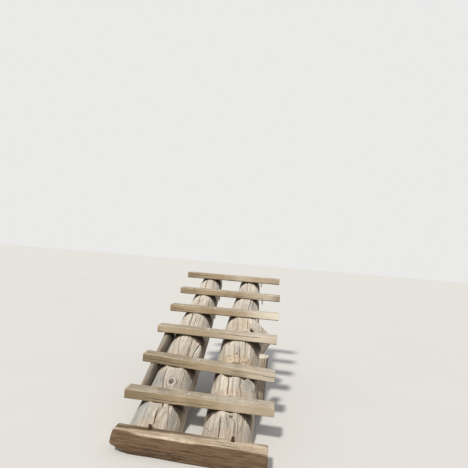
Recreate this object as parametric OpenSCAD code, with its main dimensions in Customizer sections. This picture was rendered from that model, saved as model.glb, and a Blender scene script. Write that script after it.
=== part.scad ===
// Log stair on a bank: six sawn treads let into two round logs, with a sill log at the foot.
// Millimetres. X runs along the treads, Y goes up the bank, Z is up.
// The origin is the middle of the sill's flat underside, where the sill bears on the ground.

/* [Flight] */
// Level distance from one tread front to the next
run = 360; // [320:5:400]
// Height from one tread top to the next
rise = 175; // [155:1:195]

/* [Treads] */
// Length of a tread, left end to right end
tread_length = 1250; // [1190:5:1400]
// Width of a tread, front to back
tread_depth = 125; // [100:1:150]
// Thickness of a tread
tread_thickness = 75; // [50:1:90]
// Planed-off corner along the long edges of a tread
tread_arris = 4; // [2:0.5:8]

/* [Logs] */
// Diameter of the left log at its foot
left_log_foot = 438; // [380:1:460]
// Diameter of the left log at its head
left_log_head = 276; // [240:1:320]
// Diameter of the right log at its foot
right_log_foot = 432; // [380:1:460]
// Diameter of the right log at its head
right_log_head = 268; // [240:1:320]
// Distance between the two log axes at their feet
log_spacing = 592; // [570:1:620]
// How far the left log leans in towards the middle by its head
left_toe_in = 22; // [0:1:30]
// How far the right log leans in towards the middle by its head
right_toe_in = 40; // [10:1:50]
// Strength of the logs' natural swelling and thinning, as a share of the real ones'
log_swell = 1; // [0.6:0.05:1.1]
// How far the logs' crowns stay below the tread line before they swell
crown_drop = 8; // [4:0.5:14]

/* [Fork] */
// Diameter of the right log's second stem at its sawn end
branch_diameter = 340; // [310:2:350]
// How far the sawn end of the second stem stands to the right of the log axis
branch_spread = 165; // [140:1:175]

/* [Side pole and stake] */
// Diameter at its foot of the short pole under the left ends of three treads
pole_foot = 76; // [66:1:90]
// Diameter of the pole at its head
pole_head = 104; // [90:1:112]
// Gap between the left log's flank and the pole
pole_gap = 2; // [1:0.5:12]
// Width of the square stake behind the right end of tread 5
stake_width = 88; // [70:1:95]
// Height of the stake above the tread it stands behind
stake_stand = 98; // [60:1:120]
// Gap between the right log's flank and the stake
stake_gap = 3; // [2:1:20]

/* [Sill] */
// Length of the sill, end to end
sill_length = 1150; // [1120:5:1240]
// Width of the sill from its front to its flat back
sill_depth = 140; // [120:1:170]
// Height of the sill
sill_height = 150; // [130:1:180]

/* [Pins] */
// Diameter of the pointed steel pins through the treads
pin_diameter = 16; // [12:0.5:20]
// Length of pin below the underside of a tread
pin_reach = 64; // [40:1:80]
// Diameter of the steel bars through the sill
bar_diameter = 25; // [20:1:32]

/* [Hidden] */

tread_count = 6;
slope = atan(rise / run);
back_gap = 2;
front_lead = 62;
pin_gap = 0.3;
pair_shift = -29;
left_stand_off = 28;
right_stand_off = 14;
head_room = 400;
low_overrun = 300;
high_overrun = 200;
sill_shift = 25;
bar_side = 315;
bar_back = 22;
bar_stand = 30;
wide = 900;

// How each tread was laid, tread_1 first: tilt and skew in degrees, lift and shift in millimetres.
tread_tilt = [0.3, 0.2, 0.5, 0.1, -1.7, 0.4];
tread_skew = [0.0, 0.1, 0.1, 0.0, -0.8, 0.1];
tread_lift = [0, 0, 13, 20, -20, -10];
tread_shift = [0, 14, 10, 0, 0, 6];

left_x = pair_shift - log_spacing / 2;
right_x = pair_shift + log_spacing / 2;
front_y = -sill_depth / 2;
foot_y = sill_depth / 2;
flight_back = front_y + tread_count * run + tread_depth + 62;
profile_bands = 18;

// Swelling of each log, as extra radius at steps 0 to 6 up from the sill.
left_girth = [[0, 10], [1, 12], [2, 6], [3, 12], [4, 18], [5, 5], [6, -4]];
right_girth = [[0, 5], [1, 2], [2, 18], [3, 26], [4, 28], [5, 18], [6, -5]];

// Height of the straight line that touches the undersides of all evenly laid treads at the front.
function tread_line(y) = sill_height - tread_thickness + rise * (y - front_y) / run;

// Front of a tread counted in steps up from the sill.
function step_y(step) = front_y + step * run;

// Steps counted up from the sill for a tread number counted down from the top.
function step_of(number) = tread_count + 1 - number;

// Crown height of a log or pole at a distance up the bank.
function crown_z(y, drop) = tread_line(y) - drop;

// Share of a log's length at a distance up the bank.
function share(y) = (y - foot_y + low_overrun)
    / (flight_back - foot_y + low_overrun + high_overrun);

// Swelling of a log at a distance up the bank.
function swelling(side, y) = log_swell
    * lookup((y - front_y) / run, side < 0 ? left_girth : right_girth);

// Radius of a log at a distance up the bank.
function log_radius(side, y) = side < 0
    ? (left_log_foot + (left_log_head - left_log_foot) * share(y)) / 2 + swelling(side, y)
    : (right_log_foot + (right_log_head - right_log_foot) * share(y)) / 2 + swelling(side, y);

// Where a log's axis is, to the left or right, at a distance up the bank.
function log_x(side, y) = side < 0
    ? left_x + left_toe_in * share(y)
    : right_x - right_toe_in * share(y);

// Moves a tread, or what is cut for it, into its place as laid.
module lay(number) {
    k = number - 1;
    translate([tread_shift[k], step_y(step_of(number)),
               step_of(number) * rise + sill_height + tread_lift[k]])
        rotate([0, -tread_tilt[k], tread_skew[k]])
            children();
}

// Seats of all treads. The top tread's seat is open at its back.
module all_seats() {
    for (number = [1 : tread_count])
        lay(number)
            translate([-wide, -front_lead, -tread_thickness])
                cube([2 * wide,
                      front_lead + tread_depth + (number == 1 ? head_room : back_gap),
                      head_room]);
}

// A round log whose crown follows the tread line, with its natural swelling.
module round_log(side) {
    y0 = foot_y - low_overrun;
    y1 = flight_back + high_overrun;
    z0 = crown_z(y0, crown_drop) - (side < 0 ? left_log_foot : right_log_foot) / 2 / cos(slope);
    z1 = crown_z(y1, crown_drop) - (side < 0 ? left_log_head : right_log_head) / 2 / cos(slope);
    toe = log_x(side, y1) - log_x(side, y0);
    level = sqrt(pow(y1 - y0, 2) + pow(toe, 2));
    length = sqrt(pow(level, 2) + pow(z1 - z0, 2));
    bands = profile_bands;
    rim = [for (k = [0 : bands])
        [log_radius(side, y0 + (y1 - y0) * k / bands), length * k / bands]];
    translate([log_x(side, y0), y0, z0])
        rotate([0, 0, -atan2(toe, y1 - y0)])
            rotate([atan2(z1 - z0, level) - 90, 0, 0])
                rotate_extrude($fn = 96)
                    polygon(concat([[0, 0]], rim, [[0, length]]));
}

module trimmed() {
    difference() {
        children();
        translate([-wide, foot_y - head_room, -2 * wide])
            cube([2 * wide, head_room, 4 * wide]);
        translate([-wide, flight_back, -2 * wide])
            cube([2 * wide, head_room + wide, 5 * wide]);
        translate([-wide, -wide, -2 * wide])
            cube([2 * wide, 4 * wide, 2 * wide]);
    }
}

// Second stem of the forked right log, sawn off under tread 3.
module branch_stub() {
    y0 = step_y(2.9);
    y1 = step_y(4.1);
    start_d = branch_diameter * 0.82;
    z0 = crown_z(y0, crown_drop + 30) - start_d / 2 / cos(slope);
    z1 = crown_z(y1, crown_drop - 14) - branch_diameter / 2 / cos(slope);
    turn = atan2(branch_spread, y1 - y0);
    level = sqrt(pow(y1 - y0, 2) + pow(branch_spread, 2));
    translate([log_x(1, y0), y0, z0])
        rotate([0, 0, -turn])
            rotate([atan2(z1 - z0, level) - 90, 0, 0])
                cylinder(h = sqrt(pow(level, 2) + pow(z1 - z0, 2)),
                         d1 = start_d, d2 = branch_diameter, $fn = 96);
}

module log_left() {
    color("#c9bfae")
        difference() {
            trimmed()
                round_log(-1);
            all_seats();
        }
}

module log_right() {
    color("#cfc6b6")
        difference() {
            trimmed()
                union() {
                    round_log(1);
                    branch_stub();
                }
            all_seats();
            pin_place(3, 1)
                translate([0, 0, -tread_thickness - pin_reach - 1])
                    cylinder(h = tread_thickness + pin_reach, d = pin_diameter + 2 * pin_gap,
                             $fn = 32);
        }
}

// Pins stand clear of the right-hand flank of the log they are beside, except that the
// right-hand pin of tread 3 goes into the second stem of the fork.
function pin_x(number, side) = let (y = step_y(step_of(number))) side < 0
    ? log_x(-1, y) + left_stand_off + log_radius(-1, y)
    : number == 3
        ? log_x(1, y) + branch_spread
        : log_x(1, y) + right_stand_off + log_radius(1, y);
function has_pin(number, side) = side < 0 ? number >= 2 : number <= 3;

// A sawn tread with its long edges eased and a bore for each pin.
module tread(number) {
    k = number - 1;
    color("#b9a789")
        difference() {
            lay(number)
                translate([-tread_length / 2, 0, -tread_thickness])
                    rotate([90, 0, 90])
                        linear_extrude(height = tread_length)
                            polygon([
                                [tread_arris, 0], [tread_depth - tread_arris, 0],
                                [tread_depth, tread_arris],
                                [tread_depth, tread_thickness - tread_arris],
                                [tread_depth - tread_arris, tread_thickness],
                                [tread_arris, tread_thickness],
                                [0, tread_thickness - tread_arris], [0, tread_arris]]);
            for (side = [-1, 1])
                if (has_pin(number, side))
                    pin_place(number, side)
                        translate([0, 0, -tread_thickness - 1])
                            cylinder(h = tread_thickness + 2, d = pin_diameter + 2 * pin_gap, $fn = 32);
        }
}

module pin_place(number, side) {
    lay(number)
        translate([pin_x(number, side) - tread_shift[number - 1], tread_depth / 2, 0])
            children();
}

// A pointed steel pin with a low round head bearing on the tread.
module tread_pin(number, side) {
    point = pin_diameter * 1.6;
    head_h = pin_diameter * 0.35;
    color("#8d8a86")
        pin_place(number, side)
            union() {
                cylinder(h = head_h, d1 = pin_diameter * 1.9, d2 = pin_diameter * 1.5, $fn = 32);
                translate([0, 0, -tread_thickness - pin_reach + point])
                    cylinder(h = tread_thickness + pin_reach - point, d = pin_diameter, $fn = 32);
                translate([0, 0, -tread_thickness - pin_reach])
                    cylinder(h = point, d1 = 2, d2 = pin_diameter, $fn = 32);
            }
}

// Short pole beside the left log that carries the left ends of treads 4, 5 and 6.
// The pole touches the same slope line as the log, so the two stay a tangent distance apart.
function pole_x(y, wide_d) =
    log_x(-1, y) - 2 * sqrt(log_radius(-1, y) * wide_d / 2) - pole_gap;
module side_pole() {
    low_y = step_y(1) + tread_depth - 36;
    high_y = step_y(3) + tread_depth - 12;
    past = 0.06;
    x0 = pole_x(low_y, pole_foot);
    x1 = pole_x(high_y, pole_head);
    z0 = crown_z(low_y, 5) - pole_foot / 2 / cos(slope);
    z1 = crown_z(high_y, 5) - pole_head / 2 / cos(slope);
    level = sqrt(pow(x1 - x0, 2) + pow(high_y - low_y, 2));
    length = sqrt(pow(level, 2) + pow(z1 - z0, 2));
    color("#a2917b")
        difference() {
            translate([x0, low_y, z0])
                rotate([0, 0, -atan2(x1 - x0, high_y - low_y)])
                    rotate([atan2(z1 - z0, level) - 90, 0, 0])
                        translate([0, 0, -past * length])
                            cylinder(h = length * (1 + 2 * past),
                                     d1 = pole_foot, d2 = pole_head, $fn = 96);
            translate([-wide, -wide, -wide])
                cube([2 * wide, wide + low_y, 4 * wide]);
            translate([-wide, high_y, -wide])
                cube([2 * wide, 4 * wide, 4 * wide]);
            all_seats();
        }
}

// Square stake driven down behind tread 5, flat against the back of that tread.
module stake() {
    point = stake_width * 1.1;
    length = 360;
    y = step_y(2.4);
    stake_x = log_x(1, y) + log_radius(1, y) + stake_gap + stake_width / 2;
    lay(5)
        translate([stake_x, tread_depth + stake_width / 2, 0])
            color("#b3a58e")
                union() {
                    translate([-stake_width / 2, -stake_width / 2, -length])
                        cube([stake_width, stake_width, length + stake_stand]);
                    translate([0, 0, -length - point])
                        rotate([0, 0, 45])
                            cylinder(h = point, d1 = 12, d2 = stake_width * sqrt(2), $fn = 4);
                }
}

// The sill: an old log slabbed flat on top, back and underside, its front left round,
// and its left end worn down to a blunt slope underneath.
module sill() {
    butt = sill_height * 1.42;
    tip = sill_height * 1.26;
    axis_y = front_y + sill_height * 0.66;
    axis_z = sill_height * 0.46;
    x0 = sill_shift - sill_length / 2;
    color("#9c8468")
        difference() {
            translate([x0, axis_y, axis_z])
                rotate([0, 90, 0])
                    cylinder(h = sill_length, d1 = tip, d2 = butt, $fn = 96);
            translate([x0 - 50, -wide, sill_height])
                cube([sill_length + 100, 2 * wide, wide]);
            translate([x0 - 50, -wide, -wide])
                cube([sill_length + 100, 2 * wide, wide]);
            translate([x0 - 50, foot_y, -wide])
                cube([sill_length + 100, wide, 2 * wide]);
            translate([x0 - 1, -wide, sill_height * 0.45])
                rotate([0, 24, 0])
                    translate([-wide, 0, -wide])
                        cube([wide, 2 * wide, 2 * wide]);
            for (side = [-1, 1])
                translate([side * bar_side + sill_shift, foot_y - bar_back, -1])
                    cylinder(h = sill_height + 2, d = bar_diameter + 2 * pin_gap, $fn = 32);
        }
}

module sill_pin(side) {
    color("#5b4a40")
        translate([side * bar_side + sill_shift, foot_y - bar_back, 0])
            cylinder(h = sill_height + bar_stand, d = bar_diameter, $fn = 32);
}

log_left();
log_right();
tread(1);  // tread_1
tread(2);  // tread_2
tread(3);  // tread_3
tread(4);  // tread_4
tread(5);  // tread_5
tread(6);  // tread_6
sill();
side_pole();
stake();
tread_pin(2, -1);  // tread_pin_left_2
tread_pin(3, -1);  // tread_pin_left_3
tread_pin(4, -1);  // tread_pin_left_4
tread_pin(5, -1);  // tread_pin_left_5
tread_pin(6, -1);  // tread_pin_left_6
tread_pin(1, 1);  // tread_pin_right_1
tread_pin(2, 1);  // tread_pin_right_2
tread_pin(3, 1);  // tread_pin_right_3
sill_pin(-1);  // sill_pin_left
sill_pin(1);  // sill_pin_right
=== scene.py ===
# Looks of the log stair: six sawn treads let into two weathered round logs, with a sill log.
# Metres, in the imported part's own frame: X along the treads, Y up the flight, Z up.
# Places on the photograph are pixels of its 468 by 468 frame.
import math

import bpy
import numpy as np
from mathutils import Matrix, Vector


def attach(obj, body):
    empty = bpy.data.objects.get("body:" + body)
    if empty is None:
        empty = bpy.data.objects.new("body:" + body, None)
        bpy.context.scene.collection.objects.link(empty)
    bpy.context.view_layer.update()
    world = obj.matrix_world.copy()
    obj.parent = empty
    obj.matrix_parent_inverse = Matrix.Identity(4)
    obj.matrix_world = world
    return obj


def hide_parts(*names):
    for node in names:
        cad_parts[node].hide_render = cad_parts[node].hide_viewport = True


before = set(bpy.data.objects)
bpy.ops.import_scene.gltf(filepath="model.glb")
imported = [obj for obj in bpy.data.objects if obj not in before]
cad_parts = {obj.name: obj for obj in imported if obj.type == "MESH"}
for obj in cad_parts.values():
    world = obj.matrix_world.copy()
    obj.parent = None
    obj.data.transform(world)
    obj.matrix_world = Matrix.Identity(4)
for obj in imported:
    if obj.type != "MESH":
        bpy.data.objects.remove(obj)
scene = bpy.context.scene
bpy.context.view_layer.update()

# Sizes, as in the part's source.
RUN, RISE = 0.360, 0.175
TREAD_LENGTH, TREAD_DEPTH, TREAD_THICKNESS = 1.250, 0.125, 0.075
LOG_SPACING, PAIR_SHIFT = 0.592, -0.029
LEFT_FOOT, LEFT_HEAD, LEFT_DROP, LEFT_TOE = 0.438, 0.276, 0.008, 0.022
RIGHT_FOOT, RIGHT_HEAD, RIGHT_DROP, RIGHT_TOE = 0.432, 0.268, 0.008, 0.040
BRANCH_DIAMETER, BRANCH_SPREAD = 0.340, 0.165
POLE_FOOT, POLE_HEAD, POLE_GAP, POLE_DROP = 0.076, 0.104, 0.002, 0.005
STAKE_WIDTH, STAKE_STAND, STAKE_GAP, STAKE_LENGTH = 0.088, 0.098, 0.003, 0.360
SILL_LENGTH, SILL_DEPTH, SILL_HEIGHT, SILL_SHIFT = 1.150, 0.140, 0.150, 0.025
PIN_DIAMETER, BAR_DIAMETER, BAR_SIDE, BAR_BACK = 0.016, 0.025, 0.315, 0.022
BACK_GAP, FRONT_LEAD, HEAD_ROOM, BACK_LEAD = 0.002, 0.062, 0.400, 0.062
LOW_OVERRUN, HIGH_OVERRUN, WIDE = 0.300, 0.200, 0.900
LEFT_STAND_OFF, RIGHT_STAND_OFF = 0.028, 0.014
# How much wider a bore is than its pin.
BORE_PLAY = 0.0006
# Extra radius of each log at steps 0 to 6, and how far its middle strays sideways there.
LEFT_GIRTH = [0.010, 0.012, 0.006, 0.012, 0.018, 0.005, -0.004]
RIGHT_GIRTH = [0.005, 0.002, 0.018, 0.026, 0.028, 0.018, -0.005]
LEFT_STRAY = [-0.008, 0.002, 0.008, 0.008, 0.006, 0, 0]
RIGHT_STRAY = [-0.004, 0.012, 0.010, 0, -0.006, -0.008, -0.003]
# How each tread was laid, tread_1 first: tilt and skew in degrees, lift and shift in metres.
TREAD_COUNT = 6
TREAD_TILT = [0.3, 0.2, 0.5, 0.1, -1.7, 0.4]
TREAD_SKEW = [0.0, 0.1, 0.1, 0.0, -0.8, 0.1]
TREAD_LIFT = [0, 0, 0.013, 0.020, -0.020, -0.010]
TREAD_SHIFT = [0, 0.014, 0.010, 0, 0, 0.006]

SLOPE = math.atan2(RISE, RUN)
LEFT_X, RIGHT_X = PAIR_SHIFT - LOG_SPACING / 2, PAIR_SHIFT + LOG_SPACING / 2
FRONT_Y, FOOT_Y = -SILL_DEPTH / 2, SILL_DEPTH / 2
FLIGHT_BACK = FRONT_Y + TREAD_COUNT * RUN + TREAD_DEPTH + BACK_LEAD
LOW_Y, HIGH_Y = FOOT_Y - LOW_OVERRUN, FLIGHT_BACK + HIGH_OVERRUN

# Camera, fitted to the treads' edges: focal length in pixels, slight roll.
FRAME, FOCAL = 468, 340
EYE = Vector((0.555, -2.494, 1.530))
EYE_YAW, EYE_PITCH, EYE_ROLL = (math.radians(a) for a in (-7.30, 2.88, 4.53))


def eye_axes():
    """Right, up and back of the camera."""
    ahead = Vector((math.sin(EYE_YAW) * math.cos(EYE_PITCH),
                    math.cos(EYE_YAW) * math.cos(EYE_PITCH), math.sin(EYE_PITCH)))
    level = Vector((math.cos(EYE_YAW), -math.sin(EYE_YAW), 0))
    rise = level.cross(ahead)
    c, s = math.cos(EYE_ROLL), math.sin(EYE_ROLL)
    return c * level + s * rise, c * rise - s * level, -ahead


EYE_RIGHT, EYE_UP, EYE_BACK = eye_axes()


def make_camera():
    data = bpy.data.cameras.new("photo_camera")
    data.sensor_width = 36
    data.lens = 36 * FOCAL / FRAME
    data.clip_start, data.clip_end = 0.05, 200
    turn = Matrix((EYE_RIGHT, EYE_UP, EYE_BACK)).transposed().to_4x4()
    scene.camera = add_object("photo_camera", data, Matrix.Translation(EYE) @ turn)


def sight(px, py):
    """Direction of the ray through a pixel."""
    u, v = (px - FRAME / 2) / FOCAL, (FRAME / 2 - py) / FOCAL
    return (EYE_RIGHT * u + EYE_UP * v - EYE_BACK).normalized()


# Repeatable noise for mesh code.
def lattice(ix, iy, iz, seed):
    """A random value from -1 to 1 at each whole-number place."""
    h = (ix * 374761393 + iy * 668265263 + iz * 1440662683 + seed * 974634777) & 0xFFFFFFFF
    h = ((h ^ (h >> 13)) * 1274126177) & 0xFFFFFFFF
    return ((h ^ (h >> 16)) & 0xFFFF) / 32767.5 - 1


def noise(x, y, z, seed=0):
    """Smooth noise from -1 to 1 at places counted in noise cells."""
    x, y, z = np.broadcast_arrays(np.asarray(x, float), np.asarray(y, float), np.asarray(z, float))
    ix, iy, iz = (np.floor(a).astype(np.int64) for a in (x, y, z))
    fx, fy, fz = x - ix, y - iy, z - iz
    fx, fy, fz = (a * a * (3 - 2 * a) for a in (fx, fy, fz))
    total = 0
    for dx in (0, 1):
        for dy in (0, 1):
            for dz in (0, 1):
                share = (fx if dx else 1 - fx) * (fy if dy else 1 - fy) * (fz if dz else 1 - fz)
                total = total + share * lattice(ix + dx, iy + dy, iz + dz, seed)
    return total


def rough(x, y, z, seed=0, layers=3):
    """Several layers of noise, each finer and weaker."""
    total, weight = 0, 1.0
    for layer in range(layers):
        k = 2 ** layer
        total = total + weight * noise(x * k, y * k, z * k, seed + 17 * layer)
        weight *= 0.5
    return total / 1.75


def hump(d, width):
    """1 at distance 0, falling smoothly to 0 at width."""
    return np.clip(1 - (d / width) ** 2, 0, 1) ** 2


def step_up(v, start, end):
    """0 before start, 1 after end, smooth between."""
    t = np.clip((v - start) / (end - start), 0, 1)
    return t * t * (3 - 2 * t)


def stretch_fade(v, start, end, soft):
    """1 from start to end, fading in and out over soft inside them."""
    return step_up(v, start, start + soft) * (1 - step_up(v, end - soft, end))


# Mesh helpers.
def build_mesh(name, points, faces, marks=None, material=None):
    """A mesh with a number for each point under each mark's name."""
    mesh = bpy.data.meshes.new(name)
    mesh.from_pydata(np.asarray(points).tolist(), [], faces)
    for key, values in (marks or {}).items():
        layer = mesh.attributes.new(key, "FLOAT", "POINT")
        layer.data.foreach_set("value", np.asarray(values, np.float32))
    mesh.validate()
    mesh.update()
    if material:
        mesh.materials.append(material)
    return mesh


def tube_mesh(name, rings, middles, material, marks=None, lead=0, inside_out=False):
    """A closed tube: rings of points with a fan to a middle point at each end. The marks
    start at ring number lead, and points that they don't reach get 0."""
    count, around = rings.shape[:2]
    start = np.arange(count - 1)[:, None] * around
    j = np.arange(around)
    k = (j + 1) % around
    quads = np.stack([start + j, start + k, start + around + k, start + around + j], -1)
    first, last = (np.full(around, count * around + i) for i in (0, 1))
    tail = (count - 1) * around
    tris = np.concatenate([np.stack([k, j, first], -1), np.stack([tail + j, tail + k, last], -1)])
    way = -1 if inside_out else 1
    faces = [tuple(q) for q in quads.reshape(-1, 4)[:, ::way].tolist()]
    faces += [tuple(t) for t in tris[:, ::way].tolist()]
    points = np.concatenate([rings.reshape(-1, 3), middles])
    spread = {}
    for key, values in (marks or {}).items():
        spread[key] = np.zeros(len(points))
        spread[key][lead * around:lead * around + values.size] = values.ravel()
    return build_mesh(name, points, faces, spread, material)


def add_object(name, data, matrix=Matrix()):
    item = bpy.data.objects.new(name, data)
    item.matrix_world = matrix
    scene.collection.objects.link(item)
    return item


def box_tool(name, low, high, matrix, material):
    """A plain box used only to cut with."""
    (x0, y0, z0), (x1, y1, z1) = low, high
    points = [(x, y, z) for x in (x0, x1) for y in (y0, y1) for z in (z0, z1)]
    faces = [(0, 1, 3, 2), (4, 6, 7, 5), (0, 4, 5, 1), (2, 3, 7, 6), (0, 2, 6, 4), (1, 5, 7, 3)]
    return add_object(name, build_mesh(name, points, faces, material=material), matrix)


def slab_tool(name, y0, y1, z0, z1, matrix=Matrix()):
    """A box across the whole width, to saw logs with."""
    return box_tool(name, (-WIDE, y0, z0), (WIDE, y1, z1), matrix, CUT_WOOD)


def bore_tool(name, x, y, z0, z1, diameter, material, matrix=Matrix()):
    """A rod that cuts a bore with a little play."""
    turn = np.linspace(0, 2 * np.pi, 24, endpoint=False)
    radius = (diameter + BORE_PLAY) / 2
    ring = [x + radius * np.cos(turn), y + radius * np.sin(turn)]
    rings = np.stack([np.stack(ring + [np.full(24, z)], -1) for z in (z0, z1)])
    return add_object(name, tube_mesh(name, rings, [[x, y, z0], [x, y, z1]], material), matrix)


def carve(piece, tools, operation="DIFFERENCE"):
    """Applies boolean cuts (or joins) to a piece, and removes the tools."""
    for tool in tools:
        change = piece.modifiers.new("cut", "BOOLEAN")
        change.operation = operation
        change.solver = "MANIFOLD"
        change.material_mode = "TRANSFER"
        change.object = tool
    result = bpy.data.meshes.new_from_object(
        piece.evaluated_get(bpy.context.evaluated_depsgraph_get()))
    piece.modifiers.clear()
    old = piece.data
    piece.data = result
    result.name = old.name + "_cut"
    bpy.data.meshes.remove(old)
    for tool in tools:
        mesh = tool.data
        bpy.data.objects.remove(tool)
        bpy.data.meshes.remove(mesh)


def settle(piece):
    """Moves a piece's place into its mesh, and keeps where each point lay along its own
    timber, so that the grain still runs with it."""
    mesh = piece.data
    flat = np.empty(len(mesh.vertices) * 3, np.float32)
    mesh.vertices.foreach_get("co", flat)
    shift = np.tile(np.array(piece.matrix_world.translation, np.float32), len(mesh.vertices))
    for key, values in (("timber_place", flat), ("timber_shift", shift)):
        mesh.attributes.new(key, "FLOAT_VECTOR", "POINT").data.foreach_set("vector", values)
    mesh.transform(piece.matrix_world)
    piece.matrix_world = Matrix()


def finish(piece, node, angle=40):
    """Settles and shades a piece, and hands it to the frame in place of its CAD node."""
    settle(piece)
    piece.data.shade_smooth()
    piece.data.set_sharp_from_angle(angle=math.radians(angle))
    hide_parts(node)
    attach(piece, "root")


# Shader helpers.
def srgb(r, g, b):
    """An sRGB colour from 0 to 255 as the linear colour that Blender takes."""
    def linear(v):
        v /= 255
        return v / 12.92 if v <= 0.04045 else ((v + 0.055) / 1.055) ** 2.4
    return (linear(r), linear(g), linear(b), 1)


class Net:
    """Adds nodes to a node tree. Socket values are numbers, colours or other sockets."""

    def __init__(self, tree):
        self.tree = tree

    def feed(self, socket, value):
        if isinstance(value, bpy.types.NodeSocket):
            self.tree.links.new(value, socket)
        else:
            socket.default_value = value

    def add(self, kind, inputs=None, **settings):
        node = self.tree.nodes.new(kind)
        for key, value in settings.items():
            setattr(node, key, value)
        for key, value in (inputs or {}).items():
            self.feed(node.inputs[key], value)
        return node

    def math(self, operation, *values, clamp=False):
        return self.add("ShaderNodeMath", dict(enumerate(values)), operation=operation,
                        use_clamp=clamp).outputs[0]

    def plus(self, a, b):
        return self.math("ADD", a, b)

    def minus(self, a, b):
        return self.math("SUBTRACT", a, b)

    def times(self, first, *others):
        for other in others:
            first = self.math("MULTIPLY", first, other)
        return first

    def centred(self, value):
        """Takes 0 to 1 to -0.5 to 0.5."""
        return self.minus(value, 0.5)

    def vector(self, operation, *values):
        return self.add("ShaderNodeVectorMath", dict(enumerate(values)),
                        operation=operation).outputs["Value" if operation == "LENGTH" else 0]

    def scale(self, vector, size):
        return self.add("ShaderNodeVectorMath", {0: vector, "Scale": size},
                        operation="SCALE").outputs[0]

    def stretch(self, vector, x, y, z):
        return self.vector("MULTIPLY", vector, (x, y, z))

    def split(self, vector):
        return self.add("ShaderNodeSeparateXYZ", {0: vector}).outputs[:]

    def join(self, x, y, z):
        return self.add("ShaderNodeCombineXYZ", {0: x, 1: y, 2: z}).outputs[0]

    def noise(self, vector, scale=1.0, detail=3.0, roughness=0.55):
        return self.add("ShaderNodeTexNoise", {
            "Vector": vector, "Scale": scale, "Detail": detail,
            "Roughness": roughness}).outputs["Fac"]

    def cells(self, vector, scale=1.0, feature="DISTANCE_TO_EDGE"):
        return self.add("ShaderNodeTexVoronoi", {"Vector": vector, "Scale": scale},
                        feature=feature).outputs["Distance"]

    def span(self, value, low, high, to_low=0.0, to_high=1.0, smooth=True):
        """Takes low to to_low and high to to_high, and stays there beyond them."""
        return self.add("ShaderNodeMapRange", {
            "Value": value, "From Min": low, "From Max": high, "To Min": to_low,
            "To Max": to_high}, interpolation_type="SMOOTHSTEP" if smooth else "LINEAR").outputs[0]

    def mix(self, share, a, b):
        """Two colours mixed. Each is a socket, or red, green and blue from 0 to 255."""
        a, b = (srgb(*tone) if isinstance(tone, tuple) else tone for tone in (a, b))
        return self.add("ShaderNodeMix", {0: share, 6: a, 7: b}, data_type="RGBA").outputs[2]

    def layers(self, colour, *layers):
        """Lays tones over a colour one after another. A layer is its share and its tone."""
        for share, tone in layers:
            colour = self.mix(share, colour, tone)
        return colour

    def bumps(self, *layers):
        """A bumped normal. A layer is its height, the height's size in metres, a strength."""
        normal = None
        for height, distance, strength in layers:
            inputs = {"Height": height, "Distance": distance, "Strength": strength}
            if normal is not None:
                inputs["Normal"] = normal
            normal = self.add("ShaderNodeBump", inputs).outputs[0]
        return normal

    def marks(self, *names):
        """The numbers that a mesh holds for its points under these names."""
        return [self.add("ShaderNodeAttribute", attribute_name=name).outputs["Fac"]
                for name in names]

    def geometry(self, name):
        return self.add("ShaderNodeNewGeometry").outputs[name]

    def group(self, tree, **inputs):
        return self.add("ShaderNodeGroup", inputs, node_tree=tree).outputs

    def shade(self, inputs):
        """Feeds the material's Principled shader."""
        shader = self.tree.nodes["Principled BSDF"]
        for key, value in inputs.items():
            self.feed(shader.inputs[key], value)


def new_group(name, outputs, **inputs):
    """An empty node group. An input is a number with its default, or a vector where that is
    None, and each output is a number. Returns its net, inputs and output node."""
    tree = bpy.data.node_groups.new(name, "ShaderNodeTree")
    for key, value in inputs.items():
        kind = "NodeSocketVector" if value is None else "NodeSocketFloat"
        socket = tree.interface.new_socket(name=key, in_out="INPUT", socket_type=kind)
        if value is not None:
            socket.default_value = value
    for key in outputs:
        tree.interface.new_socket(name=key, in_out="OUTPUT", socket_type="NodeSocketFloat")
    net = Net(tree)
    return net, net.add("NodeGroupInput").outputs, net.add("NodeGroupOutput")


def close_group(net, end, **results):
    for key, socket in results.items():
        net.feed(end.inputs[key], socket)
    return net.tree


def make_fibre_group():
    """Weathered fibres: fine ridges that run along Z, with softer wood worn out between them."""
    net, given, end = new_group("weathered_fibres", ("Ridges", "Streaks"), Vector=None,
                                Fineness=1.0, Waviness=0.5)
    x, y, z = net.split(given["Vector"])
    sway = net.centred(net.noise(given["Vector"], 3.0, 2.0))
    drift = net.times(sway, given["Waviness"], 0.06)
    fine = net.scale(net.join(net.plus(x, drift), net.plus(y, drift), z), given["Fineness"])
    return close_group(net, end, Ridges=net.noise(net.stretch(fine, 260, 260, 9), 1.0, 4.0, 0.6),
                       Streaks=net.noise(net.stretch(fine, 55, 55, 1.6), 1.0, 4.0))


def make_check_group():
    """Drying checks: long dark cracks along Z that open and close."""
    net, given, end = new_group("drying_checks", ("Mask", "Depth"), Vector=None, Across=22.0,
                                Along=1.5, Width=0.03, Share=0.5)
    x, y, z = net.split(given["Vector"])
    shift = net.times(net.centred(net.noise(given["Vector"], 5.0, 3.0)), 0.035)
    edge = net.cells(net.join(net.times(net.plus(x, shift), given["Across"]),
                              net.times(net.plus(y, shift), given["Across"]),
                              net.times(z, given["Along"])))
    patch = net.noise(net.stretch(given["Vector"], 9, 9, 2.5), 1.0, 2.0)
    open_share = net.span(patch, net.minus(1.0, given["Share"]), net.minus(1.22, given["Share"]))
    width = net.math("MAXIMUM", net.times(given["Width"], open_share), 0.0005)
    mask = net.math("SUBTRACT", 1.0, net.math("DIVIDE", edge, width), clamp=True)
    return close_group(net, end, Mask=mask, Depth=net.math("POWER", mask, 0.6))


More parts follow.
